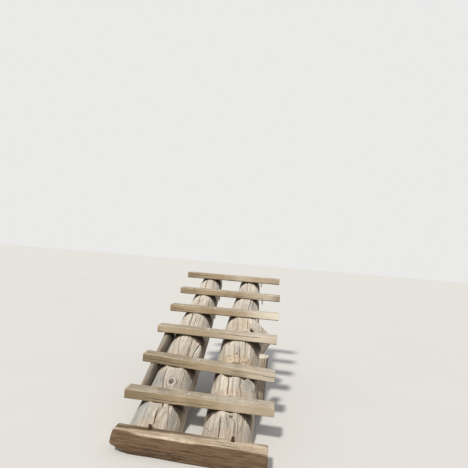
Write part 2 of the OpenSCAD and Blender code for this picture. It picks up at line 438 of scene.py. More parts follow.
def make_patch_group():
    """Uneven silvering and grime: a broad mask, a blotchy mask and small dark specks."""
    net, given, end = new_group("silvering", ("Broad", "Blotches", "Specks"), Vector=None,
                                Size=1.0)
    at = net.scale(given["Vector"], given["Size"])
    return close_group(net, end, Broad=net.span(net.noise(at, 5.0, 3.0), 0.38, 0.62),
                       Blotches=net.span(net.noise(at, 22.0, 5.0, 0.65), 0.45, 0.66),
                       Specks=net.span(net.noise(at, 160.0, 2.0, 0.6), 0.66, 0.74))


def make_ring_group():
    """Growth rings round Z through the pith, seen as rings on an end and as lines on a side."""
    net, given, end = new_group("growth_rings", ("Rings", "Late"), Vector=None, Spacing=0.004,
                                Unevenness=0.01)
    x, y = net.split(given["Vector"])[:2]
    wobble = net.noise(net.stretch(given["Vector"], 7, 7, 1.2), 1.0, 3.0)
    far = net.math("SQRT", net.plus(net.times(x, x), net.times(y, y)))
    far = net.plus(far, net.times(net.centred(wobble), given["Unevenness"]))
    turn = net.math("FRACT", net.math("DIVIDE", far, given["Spacing"]))
    return close_group(net, end, Rings=turn, Late=net.math("POWER", turn, 3.0))


def make_upward_group():
    """How far a surface faces up (1 on top, 0 on a side, -1 underneath), and a mask that
    comes in from Low to High with an edge that Wander makes uneven by Sway."""
    net, given, end = new_group("upward_faces", ("Up", "Mask"), Wander=0.5, Sway=0.3, Low=0.4,
                                High=0.8)
    up = net.split(net.geometry("Normal"))[2]
    swayed = net.plus(up, net.times(net.centred(given["Wander"]), given["Sway"]))
    return close_group(net, end, Up=up, Mask=net.span(swayed, given["Low"], given["High"]))


def past_step(net, distance):
    """How far past the last step's line a level distance along the flight is."""
    return net.times(net.math("FRACT", net.math("DIVIDE", distance, RUN)), RUN)


def make_flight_group():
    """Marks that follow the treads up the flight, in the order of the outputs: painted shade, 1
    close under a tread; Splashed, 1 just behind one, where feet scuff it; and High, the height
    above the foot. Wander makes their edges uneven."""
    net, given, end = new_group("marks_by_treads", ("Sheltered", "Splashed", "High"), Wander=0.5)
    y, z = net.split(net.geometry("Position"))[1:]
    sway = net.centred(given["Wander"])
    ahead = net.minus(y, FRONT_Y)
    behind = past_step(net, ahead)
    near = net.plus(behind, net.times(sway, 0.035))
    under = net.times(net.span(near, -0.001, 0.014),
                      net.span(near, TREAD_DEPTH + 0.001, TREAD_DEPTH - 0.012))
    line = net.plus(net.times(ahead, RISE / RUN), SILL_HEIGHT - TREAD_THICKNESS)
    below = net.plus(net.minus(line, z), net.times(sway, 0.10))
    # Painted shade close under each tread, fading out lower down.
    painted_shade_under = net.times(under, net.span(below, 0.20, 0.09),
                          net.span(ahead, RUN * 0.5, RUN * 0.5 + 0.01))
    scuffed = net.plus(behind, net.times(sway, 0.12))
    splashed = net.span(scuffed, TREAD_DEPTH + 0.13, TREAD_DEPTH + 0.02)
    return close_group(net, end, Sheltered=painted_shade_under, Splashed=splashed, High=z)


FIBRES = make_fibre_group()
CHECKS = make_check_group()
PATCHES = make_patch_group()
RINGS = make_ring_group()
UPWARD = make_upward_group()
FLIGHT = make_flight_group()


# Materials.
def new_material(name):
    material = bpy.data.materials.new(name)
    material.use_nodes = True
    return material, Net(material.node_tree)


def timber_place(net, along="Z"):
    """Where a point lay along its own timber before it was put in place, with the timber's
    length on Z, and the same moved apart for each piece."""
    place, shift = (net.add("ShaderNodeAttribute", attribute_name=name).outputs["Vector"]
                    for name in ("timber_place", "timber_shift"))
    if along == "X":
        x, y, z = net.split(place)
        place = net.join(y, z, x)
    return place, net.vector("ADD", place, net.stretch(shift, 3.7, 5.3, 4.1))


def round_turn(net, x, y):
    """The turn round a log from its crown."""
    return net.math("ARCTAN2", x, net.times(y, -1.0))


def weathered(net, vector, fineness, waviness, size, **checks):
    """Streaks, ridges, patches and drying checks of weathered wood."""
    fibres = net.group(FIBRES, Vector=vector, Fineness=fineness, Waviness=waviness)
    return (fibres["Streaks"], fibres["Ridges"], net.group(PATCHES, Vector=vector, Size=size),
            net.group(CHECKS, Vector=vector, **checks))


def sunk(net, checks):
    """The checks' depth as a height for bumps."""
    return net.times(checks["Depth"], -1.0)


def make_log_wood(name, fresh, silver, weak, dark):
    """Debarked wood, bleached on top and browner low on its flanks, with long checks, painted
    shade close under the treads and painted shade where its shade mark is set. fresh and silver
    are its bleached tones, weak the softer streaks, dark the tone where it faces down."""
    material, net = new_material(name)
    place, apart = timber_place(net)
    x, y, z = net.split(place)
    skin = net.join(net.times(round_turn(net, x, y), 0.19), 0.0, z)
    skin = net.vector("ADD", skin, net.vector("SUBTRACT", apart, place))
    streaks, ridges, patches, checks = weathered(net, skin, 1.0, 0.8, 1.0, Across=24.0,
                                                 Along=1.7, Width=0.05, Share=0.52)
    hair = net.group(CHECKS, Vector=skin, Across=95.0, Along=6.0, Width=0.085, Share=0.55)
    flight = net.group(FLIGHT, Wander=streaks)
    faces_down = net.group(UPWARD, Wander=streaks, Sway=-0.6, Low=0.06, High=-0.50)["Mask"]
    opened, knot, hewn, greyed, tanned, painted_shade = net.marks("opened", "knot", "hewn", "greyed",
                                                           "tanned", "painted_shade")
    dirt = net.math("MAXIMUM", tanned, net.times(flight["Splashed"], 0.45))
    chips = net.noise(net.stretch(skin, 70, 70, 48), 1.0, 3.0, 0.7)
    torn = net.mix(net.span(chips, 0.42, 0.62), (226, 209, 182), (164, 140, 112))
    colour = net.layers(
        net.mix(patches["Broad"], fresh, silver),
        (net.span(streaks, 0.38, 0.66, 0.0, 0.75), weak),
        (net.times(patches["Blotches"], 0.40), (190, 175, 155)),
        (net.span(flight["High"], 0.30, 1.05, 0.05, 0.40), (246, 239, 229)),
        (net.span(streaks, 0.46, 0.34, 0.0, 0.60), (253, 250, 240)),
        (net.times(dirt, 0.70), (194, 167, 138)),
        (net.times(greyed, 0.70), (166, 168, 166)),
        (net.times(greyed, patches["Specks"]), (112, 128, 138)),
        (net.span(ridges, 0.44, 0.72, 0.0, 0.42), (140, 123, 102)),
        (net.times(patches["Specks"], 0.4), (112, 96, 78)),
        (net.times(checks["Mask"], 0.45), (104, 88, 70)),
        (net.times(hair["Mask"], 0.45), (122, 104, 84)),
        (net.times(hewn, 0.85), torn),
        # Darker where the log faces down, low on its flanks and underneath.
        (net.times(faces_down, 0.92), dark),
        # Painted shade close under the treads.
        (net.times(flight["Sheltered"], 0.90), (56, 45, 35)),
        # Painted shade where the shade mark is set: in the fork's hollow, and on the pole's side
        # against the log.
        (net.times(painted_shade, 0.85), (60, 51, 42)),
        (net.span(knot, 0.0, -1.0, 0.0, 0.45, False), (232, 223, 208)),
        (net.span(knot, 0.0, 1.0, 0.0, 0.92, False), (72, 60, 50)),
        (net.span(opened, 0.05, 0.95, 0.0, 1.0, False), (54, 42, 32)))
    net.shade({"Base Color": colour, "Roughness": net.span(ridges, 0.3, 0.7, 0.72, 0.95),
               "Specular IOR Level": 0.22,
               "Normal": net.bumps((ridges, 0.0020, 1.0), (sunk(net, checks), 0.003, 1.0),
                                   (sunk(net, hair), 0.0015, 0.9))})
    return material


def make_cut_wood():
    """Sawn and chopped faces of the logs, with painted shade under the treads, and faint rings."""
    material, net = new_material("log_cut_wood")
    place, apart = timber_place(net)
    rings = net.group(RINGS, Vector=place, Spacing=0.0065, Unevenness=0.03)
    patches = net.group(PATCHES, Vector=apart, Size=1.3)
    x, y, z = net.split(place)
    far = net.vector("LENGTH", net.join(x, y, 0.0))
    spokes = net.noise(net.join(net.times(round_turn(net, x, y), 4.5), net.times(far, 5.0),
                                net.times(z, 2.0)), 1.0, 3.0, 0.5)
    level_y = net.split(net.geometry("Position"))[1]
    # Painted shade on the seats and shelves under the treads, though not at the foot.
    seat = past_step(net, net.plus(net.minus(level_y, FRONT_Y), FRONT_LEAD))
    seat = net.span(seat, FRONT_LEAD + TREAD_DEPTH - 0.008, FRONT_LEAD + TREAD_DEPTH - 0.014)
    seat = net.times(seat, net.span(level_y, FOOT_Y + 0.02, FOOT_Y + 0.03))
    colour = net.layers(
        net.mix(patches["Broad"], (190, 176, 156), (150, 136, 116)),
        (net.times(rings["Late"], 0.60), (112, 96, 76)),
        (net.times(patches["Blotches"], 0.5), (128, 114, 94)),
        (net.span(spokes, 0.615, 0.64, 0.0, 0.7), (66, 54, 42)),
        # Painted shade under the treads.
        (net.times(seat, 0.92), (48, 39, 31)))
    net.shade({"Base Color": colour, "Roughness": 0.9, "Specular IOR Level": 0.18,
               "Normal": net.bumps((rings["Rings"], 0.0006, 0.8),
                                   (net.span(spokes, 0.60, 0.64), 0.003, -0.7))})
    return material


def make_tread_wood():
    """Sawn tread timber: grey and bleached on top, tan on its front, rings on its ends, with
    painted shade on the faces that face down, and painted shadow where its shade mark is set.
    """
    material, net = new_material("weathered_tread_wood")
    place, apart = timber_place(net, along="X")
    heart = net.vector("ADD", place, (0.02, 0.16, 0.0))
    rings = net.group(RINGS, Vector=heart, Spacing=0.0075, Unevenness=0.035)
    streaks, ridges, patches, checks = weathered(net, apart, 1.15, 0.3, 1.4, Across=30.0,
                                                 Along=1.6, Width=0.035, Share=0.44)
    edge, opened, bleached, painted_shade = net.marks("edge", "opened", "bleached", "painted_shade")
    upward = net.group(UPWARD, Wander=streaks, Sway=0.25, Low=0.45, High=0.80)
    tan = net.layers(
        net.mix(patches["Broad"], (186, 168, 140), (172, 152, 124)),
        (net.times(rings["Late"], 0.30), (152, 130, 100)),
        (net.span(streaks, 0.40, 0.66, 0.0, 0.5), (166, 146, 116)),
        (bleached, (240, 230, 214)),
        # Painted shadow on the front where the shade mark is set.
        (net.times(painted_shade, 0.85), (104, 90, 68)))
    grey = net.layers(
        net.mix(patches["Broad"], (206, 195, 177), (182, 169, 149)),
        (net.span(streaks, 0.38, 0.62, 0.0, 0.6), (156, 141, 120)),
        (net.times(patches["Blotches"], 0.5), (146, 130, 106)),
        (net.times(bleached, 0.7), (236, 228, 214)),
        # Painted shadow on the top where the shade mark is set.
        (net.times(painted_shade, 0.22), (120, 106, 84)))
    rim = net.times(edge, net.span(upward["Up"], -0.55, -0.15))
    colour = net.layers(
        net.mix(upward["Mask"], tan, grey),
        (net.times(rim, 0.55), (226, 214, 194)),
        # Painted shade on the faces that face down.
        (net.times(net.span(upward["Up"], -0.35, -0.75), 0.88), (74, 58, 42)),
        (net.times(patches["Specks"], 0.45), (92, 78, 60)),
        (net.times(checks["Mask"], 0.55), (78, 62, 46)),
        (net.times(opened, 0.8), (56, 44, 33)))
    net.shade({"Base Color": colour, "Roughness": net.span(ridges, 0.3, 0.7, 0.70, 0.93),
               "Specular IOR Level": 0.22,
               "Normal": net.bumps((ridges, 0.0012, 0.9), (rings["Late"], 0.0006, 0.7),
                                   (sunk(net, checks), 0.004, 1.0))})
    return material


def make_sill_wood():
    """Old sill log: a streaky back strip, a worn pale shoulder and a finely ribbed brown front."""
    material, net = new_material("worn_sill_wood")
    apart = timber_place(net, along="X")[1]
    streaks, ridges, patches, checks = weathered(net, apart, 0.8, 0.5, 1.0, Across=34.0,
                                                 Along=1.5, Width=0.05, Share=0.50)
    opened, shoulder, strip = net.marks("opened", "shoulder", "strip")
    front = net.layers(
        net.mix(patches["Broad"], (121, 98, 76), (102, 80, 61)),
        (net.span(streaks, 0.36, 0.60, 0.0, 0.75), (84, 65, 48)),
        (net.span(ridges, 0.36, 0.60, 0.45, 0.0), (152, 127, 102)))
    worn = net.layers(
        net.mix(patches["Broad"], (236, 218, 194), (222, 202, 177)),
        (net.span(streaks, 0.40, 0.64, 0.0, 0.6), (188, 166, 138)))
    back = net.mix(net.span(streaks, 0.40, 0.54), (160, 142, 118), (98, 81, 64))
    colour = net.layers(
        front,
        (shoulder, worn),
        (strip, back),
        (net.span(ridges, 0.44, 0.7, 0.0, 0.40), (92, 73, 56)),
        (net.times(patches["Blotches"], 0.25), (120, 98, 78)),
        (net.times(checks["Mask"], 0.6), (62, 47, 37)),
        (net.span(opened, 0.05, 0.8, 0.0, 0.9, False), (46, 35, 28)))
    net.shade({"Base Color": colour, "Roughness": net.span(ridges, 0.3, 0.7, 0.74, 0.95),
               "Specular IOR Level": 0.2,
               "Normal": net.bumps((ridges, 0.002, 1.0), (sunk(net, checks), 0.004, 1.0))})
    return material


def make_stake_wood():
    """Split stake, silver-grey all over, with grain along its height, and painted shade on its
    hewn face.
    """
    material, net = new_material("stake_wood")
    apart = timber_place(net)[1]
    streaks, ridges, patches, checks = weathered(net, apart, 1.0, 0.4, 1.5, Across=40.0,
                                                 Along=3.0, Width=0.06, Share=0.5)
    bleached, painted_shade, opened = net.marks("bleached", "painted_shade", "opened")
    colour = net.layers(
        net.mix(patches["Broad"], (206, 196, 180), (176, 165, 148)),
        (net.span(streaks, 0.38, 0.64, 0.0, 0.6), (140, 128, 110)),
        (net.span(ridges, 0.45, 0.72, 0.0, 0.4), (108, 94, 78)),
        (net.times(bleached, 0.85), (232, 226, 212)),
        (net.times(checks["Mask"], 0.7), (72, 60, 48)),
        # Painted shade on the hewn face.
        (net.times(painted_shade, 0.75), (104, 94, 92)),
        (opened, (44, 35, 28)))
    net.shade({"Base Color": colour, "Roughness": net.span(ridges, 0.3, 0.7, 0.72, 0.94),
               "Specular IOR Level": 0.2,
               "Normal": net.bumps((ridges, 0.0014, 0.9), (sunk(net, checks), 0.004, 1.0))})
    return material


def make_steel():
    """Dull zinc-grey pins: brushed by driving, with rust freckles."""
    material, net = new_material("dull_pin_steel")
    place = net.add("ShaderNodeTexCoord").outputs["Object"]
    mottle = net.noise(place, 180.0, 4.0)
    lines = net.noise(net.stretch(place, 900, 900, 40), 1.0, 2.0)
    rust = net.span(net.noise(place, 75.0, 4.0, 0.7), 0.60, 0.72)
    colour = net.layers(net.mix(mottle, (186, 186, 183), (216, 214, 210)),
                        (net.times(rust, 0.7), (122, 84, 58)))
    net.shade({"Base Color": colour, "Metallic": 0.35,
               "Roughness": net.span(net.plus(mottle, rust), 0.3, 1.3, 0.36, 0.75),
               "Normal": net.bumps((lines, 0.0002, 0.6))})
    return material


def make_iron():
    """Rusted bars: flaked dark and orange rust."""
    material, net = new_material("rusted_bar_iron")
    place = net.add("ShaderNodeTexCoord").outputs["Object"]
    flakes = net.noise(place, 120.0, 5.0, 0.65)
    crust = net.cells(place, 160.0, "F1")
    colour = net.layers(net.mix(net.span(flakes, 0.38, 0.62), (70, 46, 36), (118, 74, 50)),
                        (net.span(crust, 0.2, 0.6, 0.0, 0.5), (48, 36, 32)))
    net.shade({"Base Color": colour, "Metallic": 0.25,
               "Roughness": net.span(flakes, 0.3, 0.7, 0.66, 0.92),
               "Normal": net.bumps((flakes, 0.0012, 0.9))})
    return material


LOG_WOOD = make_log_wood("sunbleached_log_wood", (230, 221, 204), (213, 205, 194),
                         (184, 172, 155), (84, 67, 50))
# The pole's wood is the log wood in darker tones: painted shade.
POLE_WOOD = make_log_wood("shaded_pole_wood", (166, 156, 142), (142, 134, 124),
                          (122, 110, 94), (64, 52, 42))
STAKE_WOOD = make_stake_wood()
CUT_WOOD = make_cut_wood()
TREAD_WOOD = make_tread_wood()
SILL_WOOD = make_sill_wood()
PIN_STEEL = make_steel()
BAR_IRON = make_iron()


# Laying out.
def step_of(number):
    """Steps counted up from the sill for a tread number counted down from the top."""
    return TREAD_COUNT + 1 - number


def step_y(step):
    return FRONT_Y + step * RUN


def tread_matrix(number):
    """Where a tread lies: middle of its front top edge, X along it, Y back, Z up."""
    k = number - 1
    return (Matrix.Translation((TREAD_SHIFT[k], step_y(step_of(number)),
                                step_of(number) * RISE + SILL_HEIGHT + TREAD_LIFT[k]))
            @ Matrix.Rotation(math.radians(TREAD_SKEW[k]), 4, "Z")
            @ Matrix.Rotation(math.radians(-TREAD_TILT[k]), 4, "Y"))


def axis_point(x, y, drop, diameter):
    """A point on a log's axis whose crown stays below the treads' undersides by drop."""
    line = SILL_HEIGHT - TREAD_THICKNESS + RISE * (y - FRONT_Y) / RUN
    return Vector((x, y, line - drop - diameter / 2 / math.cos(SLOPE)))


def along(y):
    """How far up a log a place is, from 0 at its low end to 1 at its high end."""
    return (y - LOW_Y) / (HIGH_Y - LOW_Y)


def log_x(side, y):
    return LEFT_X + LEFT_TOE * along(y) if side < 0 else RIGHT_X - RIGHT_TOE * along(y)


def log_radius(side, y):
    foot, head, girth = ((LEFT_FOOT, LEFT_HEAD, LEFT_GIRTH) if side < 0
                         else (RIGHT_FOOT, RIGHT_HEAD, RIGHT_GIRTH))
    return ((foot + (head - foot) * along(y)) / 2
            + float(np.interp((y - FRONT_Y) / RUN, range(len(girth)), girth)))


def wrap(turn):
    """A turn taken to between half a turn left and half a turn right."""
    return (turn + np.pi) % (2 * np.pi) - np.pi


class RoundLog:
    """Axis and radius of a log or pole from one point to another. It has its own place: a
    turn from its crown in radians, and a distance s along it."""
    # The upper side gets more points, up to this turn to either side.
    CROWN_TURN = math.radians(112)
    # Distances from the eye between which a pixel's ray is searched.
    SIGHT_NEAR, SIGHT_FAR, SIGHT_STEPS = 1.8, 6.5, 9400

    def __init__(self, low, high, foot, head, girth=(0,), stray=(0,)):
        self.foot, self.head, self.girth, self.stray = foot, head, girth, stray
        self.low_y, self.span_y = low.y, high.y - low.y
        axis = high - low
        self.length = axis.length
        axis.normalize()
        side = Vector((axis.y, -axis.x, 0)).normalized()
        turned = Matrix((side, axis.cross(side), axis)).transposed().to_4x4()
        self.matrix = Matrix.Translation(low) @ turned
        self.back = self.matrix.inverted()

    def at_steps(self, s, table):
        """Smoothly reads a table, given at steps 0, 1, 2 and on, at a distance along the log."""
        steps = (self.low_y + np.asarray(s) / self.length * self.span_y - FRONT_Y) / RUN
        wide = np.linspace(-2, 9, 111)
        rows = np.interp(wide, np.arange(len(table)), table)
        window = np.hanning(9)
        rows = np.convolve(np.pad(rows, 3, "edge"), window[1:-1] / window.sum(), "valid")
        return np.interp(steps, wide, rows)

    def radius(self, s):
        k = s / self.length
        return (self.foot + (self.head - self.foot) * k) / 2 + self.at_steps(s, self.girth)

    def find(self, px, py, proud=0.0):
        """The turn and the distance where a pixel's ray meets the log, or meets the skin of a
        swelling that stands proud of it."""
        start = self.back @ EYE
        ray = self.back.to_3x3() @ sight(px, py)
        far = np.linspace(self.SIGHT_NEAR, self.SIGHT_FAR, self.SIGHT_STEPS)
        x, y, z = (start[i] + ray[i] * far for i in range(3))
        gap = np.hypot(x, y) - self.radius(z) - proud
        hit = np.argmax(gap < 0) if (gap < 0).any() else np.argmin(gap)
        return math.atan2(x[hit], -y[hit]), float(z[hit])

    def loft(self, name, s0, s1, rings, around, top_share, shape, material):
        """The log as a tube from s0 to s1, with top_share of its points on its upper side.
        shape(turn, s, r) gives the new radius and the marks."""
        upper, edge = int(around * top_share), self.CROWN_TURN
        turn = np.concatenate([np.linspace(-edge, edge, upper, endpoint=False),
                               np.linspace(edge, 2 * np.pi - edge, around - upper,
                                           endpoint=False)])
        turn, s = np.meshgrid(turn, np.linspace(s0, s1, rings))
        r, marks = shape(turn, s, self.radius(s))
        points = np.stack([self.at_steps(s, self.stray) + r * np.sin(turn), -r * np.cos(turn), s],
                          -1)
        mesh = tube_mesh(name, points, [[0, 0, s0], [0, 0, s1]], material, marks)
        return add_object(name, mesh, self.matrix)


LEFT_LOG = RoundLog(axis_point(LEFT_X, LOW_Y, LEFT_DROP, LEFT_FOOT),
                    axis_point(LEFT_X + LEFT_TOE, HIGH_Y, LEFT_DROP, LEFT_HEAD),
                    LEFT_FOOT, LEFT_HEAD, LEFT_GIRTH, LEFT_STRAY)
RIGHT_LOG = RoundLog(axis_point(RIGHT_X, LOW_Y, RIGHT_DROP, RIGHT_FOOT),
                     axis_point(RIGHT_X - RIGHT_TOE, HIGH_Y, RIGHT_DROP, RIGHT_HEAD),
                     RIGHT_FOOT, RIGHT_HEAD, RIGHT_GIRTH, RIGHT_STRAY)

# Long open checks: two or more pixels that each runs through, then its width and depth.
LEFT_OPEN_CHECKS = [
    ([(158.6, 407), (156.5, 412), (155.3, 417), (154.2, 422)], 0.0050, 0.016),
    ([(163.4, 400), (162.4, 405.5)], 0.0070, 0.016),
    ([(169.4, 403), (168.6, 410), (168.2, 420), (167.4, 428)], 0.0042, 0.012),
    ([(147.4, 402), (145.8, 411)], 0.0035, 0.008),
    ([(172.6, 409), (171.0, 420)], 0.0030, 0.006),
    ([(138.4, 408), (136.4, 418)], 0.0030, 0.006),
    ([(165.3, 368.5), (163.3, 376), (162.2, 382), (162.4, 388)], 0.0056, 0.014),
    ([(185.0, 373), (182.6, 378), (181.0, 385)], 0.0045, 0.012),
    ([(158.0, 377), (155.5, 385)], 0.0035, 0.008),
    ([(174.5, 369), (173.2, 374)], 0.0030, 0.006),
    ([(190.5, 377), (189.2, 388)], 0.0035, 0.007),
    ([(198.7, 345), (195.4, 350), (193.5, 353.5), (192.0, 358)], 0.0085, 0.022),
    ([(188.6, 345), (187.5, 352), (186.4, 359)], 0.0050, 0.010),
    ([(179.6, 337.5), (178.6, 344), (176.8, 354)], 0.0042, 0.009),
    ([(201.8, 347), (201.4, 357)], 0.0035, 0.007),
    ([(173.6, 343), (172.0, 351)], 0.0030, 0.006),
    ([(192.7, 312.5), (191.8, 316), (190.6, 320), (189.0, 324), (187.4, 328)], 0.0070, 0.016),
    ([(195.6, 318), (193.6, 324), (192.0, 328)], 0.0050, 0.010),
    ([(200.4, 318), (198.6, 324), (197.4, 328)], 0.0045, 0.009),
    ([(203.5, 322), (203.2, 328)], 0.0050, 0.010),
    ([(209.6, 321), (208.6, 328)], 0.0040, 0.008),
    ([(186.4, 318), (184.6, 324)], 0.0035, 0.007),
    ([(201.2, 294.5), (199.6, 299), (198.0, 303)], 0.0072, 0.016),
    ([(195.2, 296), (194.2, 301)], 0.0060, 0.012),
    ([(203.4, 296.5), (202.4, 300)], 0.0060, 0.012),
    ([(209.4, 300.5), (208.2, 305.5)], 0.0060, 0.012),
    ([(213.0, 299), (212.8, 304)], 0.0035, 0.007),
    ([(207.5, 279.5), (206.6, 282.5), (205.0, 288)], 0.0090, 0.018),
    ([(214.4, 280.5), (213.6, 284), (213.0, 288)], 0.0080, 0.016),
    ([(202.8, 284), (201.6, 288)], 0.0035, 0.007),
]
RIGHT_OPEN_CHECKS = [
    ([(218.7, 418), (218.4, 424), (218.0, 430), (217.3, 437)], 0.0052, 0.018),
    ([(225.6, 417.5), (226.2, 426)], 0.0040, 0.009),
    ([(212.4, 424), (211.2, 434)], 0.0030, 0.006),
    ([(233.5, 421), (232.2, 433)], 0.0040, 0.009),
    ([(241.5, 420), (241.0, 432)], 0.0045, 0.010),
    ([(227.6, 376.5), (227.3, 383), (226.5, 388), (226.2, 393)], 0.0060, 0.014),
    ([(239.5, 379), (238.8, 385), (239.5, 390), (240.3, 395)], 0.0055, 0.014),
    ([(235.7, 390), (235.6, 399)], 0.0038, 0.008),
    ([(219.4, 379), (218.0, 392)], 0.0030, 0.006),
    ([(231.8, 381), (231.4, 397)], 0.0028, 0.005),
    ([(245.7, 339.5), (245.4, 346), (245.0, 352), (244.7, 356)], 0.0056, 0.016),
    ([(239.3, 347), (239.3, 354), (239.0, 361)], 0.0060, 0.012),
    ([(229.2, 342), (228.8, 352)], 0.0042, 0.009),
    ([(234.6, 346), (234.4, 356)], 0.0030, 0.006),
    ([(250.4, 344), (250.8, 358)], 0.0030, 0.006),
    ([(224.4, 348), (223.4, 358)], 0.0030, 0.006),
    ([(247.8, 317.5), (247.7, 324), (247.3, 330)], 0.0042, 0.010),
    ([(233.6, 320), (233.2, 329)], 0.0030, 0.006),
    ([(238.6, 319), (238.4, 329)], 0.0035, 0.007),
    ([(243.0, 318), (242.8, 329)], 0.0028, 0.005),
    ([(251.8, 298.5), (251.3, 302)], 0.0100, 0.018),
    ([(250.9, 303), (250.0, 306), (249.2, 309), (248.6, 313)], 0.0075, 0.014),
    ([(254.4, 301.5), (253.4, 306), (252.5, 310)], 0.0060, 0.012),
    ([(256.8, 304), (255.2, 310)], 0.0050, 0.010),
    ([(258.6, 306), (257.6, 311)], 0.0040, 0.008),
    ([(247.7, 282.5), (247.2, 288)], 0.0045, 0.009),
    ([(251.6, 285), (250.6, 291)], 0.0035, 0.007),
    ([(243.4, 284), (242.8, 291)], 0.0030, 0.006),
]
# Knots: a pixel, the knot's radius, and how much wider than long it is.
LEFT_KNOTS = [((170.5, 381.5), 0.036, 1.0), ((186, 407), 0.014, 1.0)]
RIGHT_KNOTS = [((229.2, 416.6), 0.017, 1.8), ((207.2, 428.4), 0.013, 1.3),
               ((207.9, 431.6), 0.013, 1.2), ((248.6, 382.6), 0.013, 1.2),
               ((250.6, 390.4), 0.013, 1.4),
               ((228.8, 355.5), 0.014, 0.8), ((236.6, 353.8), 0.012, 1.6)]
# Swellings and hollows: a pixel, and where the skin there stands proud of the smooth log,
# by how much; then half width, half length, and height, below 0 for a hollow.
FORK_HOLLOW = ((252.3, 330.6, 0.030), 0.024, 0.040, -0.028)
LEFT_SWELLINGS = [((159, 403), 0.15, 0.09, -0.010), ((198.5, 350), 0.06, 0.13, 0.014),
                  ((172, 345), 0.05, 0.10, 0.004)]
RIGHT_SWELLINGS = [((251.8, 332.5), 0.159, 0.24, 0.030), ((255.5, 321.5, 0.03), 0.07, 0.12, 0.040),
                   ((229.7, 324.5), 0.07, 0.14, 0.010), ((225.0, 345.0), 0.07, 0.14, 0.010),
                   ((219.5, 359.0), 0.03, 0.06, 0.012), ((238.5, 379.5), 0.13, 0.08, 0.013),
                   ((217.8, 380), 0.05, 0.09, 0.016), ((252.5, 385), 0.05, 0.08, 0.014),
                   FORK_HOLLOW]
# Folds: a line of pixels, how far the wood right of it drops, and over what width it
# recovers.
LEFT_FOLDS = [([(191.3, 341), (188.6, 350), (186.8, 358)], 0.022, 0.05)]
RIGHT_FOLDS = [([(248.5, 318), (248.3, 330, 0.020)], -0.012, 0.014)]
# The chopped ramp behind the fifth tread: its low middle, half width, length and depth.
RIGHT_RAMPS = [((235.5, 362.5), 0.26, 0.13, 0.022)]
# Blotches: a pixel, half width, half length and strength. The greyed and tanned ones are stains, the
# shade ones painted shade.
LEFT_STAINS = {
    "greyed": [((157.5, 381), 0.08, 0.13, 1.0), ((173.5, 415), 0.045, 0.16, 0.75),
               ((140, 411), 0.12, 0.18, 1.0), ((151, 407), 0.04, 0.06, 0.45),
               ((188, 383), 0.05, 0.12, 0.6), ((170.5, 381.5), 0.06, 0.06, 0.5),
               ((203, 355), 0.035, 0.12, 0.6), ((205, 322), 0.07, 0.14, 0.6),
               ((189, 321), 0.02, 0.10, 0.6), ((214, 303), 0.03, 0.08, 0.4),
               ((170, 380), 0.16, 0.12, 0.40), ((211, 283), 0.14, 0.12, 0.30)],
    "tanned": [((161, 424), 0.12, 0.06, 0.55), ((155, 417), 0.03, 0.10, 0.5),
               ((176.5, 384), 0.022, 0.06, 0.7), ((183, 357), 0.12, 0.05, 0.5),
               ((190, 326), 0.12, 0.05, 0.45), ((196, 345), 0.03, 0.05, 0.35),
               ((208, 304), 0.06, 0.05, 0.4), ((211, 287), 0.10, 0.04, 0.35)]}
RIGHT_STAINS_AND_SHADE = {
    "greyed": [((246.5, 384.5), 0.055, 0.09, 0.9), ((224, 421), 0.08, 0.12, 0.45),
               ((234, 383), 0.05, 0.06, 0.5), ((238, 345), 0.06, 0.10, 0.4),
               ((253.5, 306), 0.05, 0.12, 0.9), ((243, 284.5), 0.03, 0.05, 0.45),
               ((245, 306), 0.12, 0.14, 0.30), ((260, 328, 0.03), 0.10, 0.12, 0.50)],
    "tanned": [((226, 434), 0.16, 0.08, 0.65), ((232, 395), 0.18, 0.09, 0.7),
               ((236, 331), 0.13, 0.05, 0.75), ((242, 325), 0.17, 0.13, 0.60),
               ((261, 331, 0.03), 0.08, 0.10, 0.40), ((244, 307), 0.07, 0.08, 0.5),
               ((252, 326), 0.05, 0.08, 0.3), ((246, 291), 0.10, 0.05, 0.4)],
    # Painted shade in the fork's hollow, and a painted shadow band beside it.
    "painted_shade": [((252.3, 330.9, 0.025), 0.024, 0.036, 1.2),
               ((258.5, 332.4, 0.040), 0.040, 0.014, 0.5)]}
BRANCH_STAINS_AND_SHADE = {"painted_shade": RIGHT_STAINS_AND_SHADE["painted_shade"], "tanned": RIGHT_STAINS_AND_SHADE["tanned"],
                 "greyed": RIGHT_STAINS_AND_SHADE["greyed"][-1:]}
# The two ends of the fork's straight upper edge.
FORK_EDGE_HIGH, FORK_EDGE_LOW = (251.0, 316.2), (268.6, 333.6)


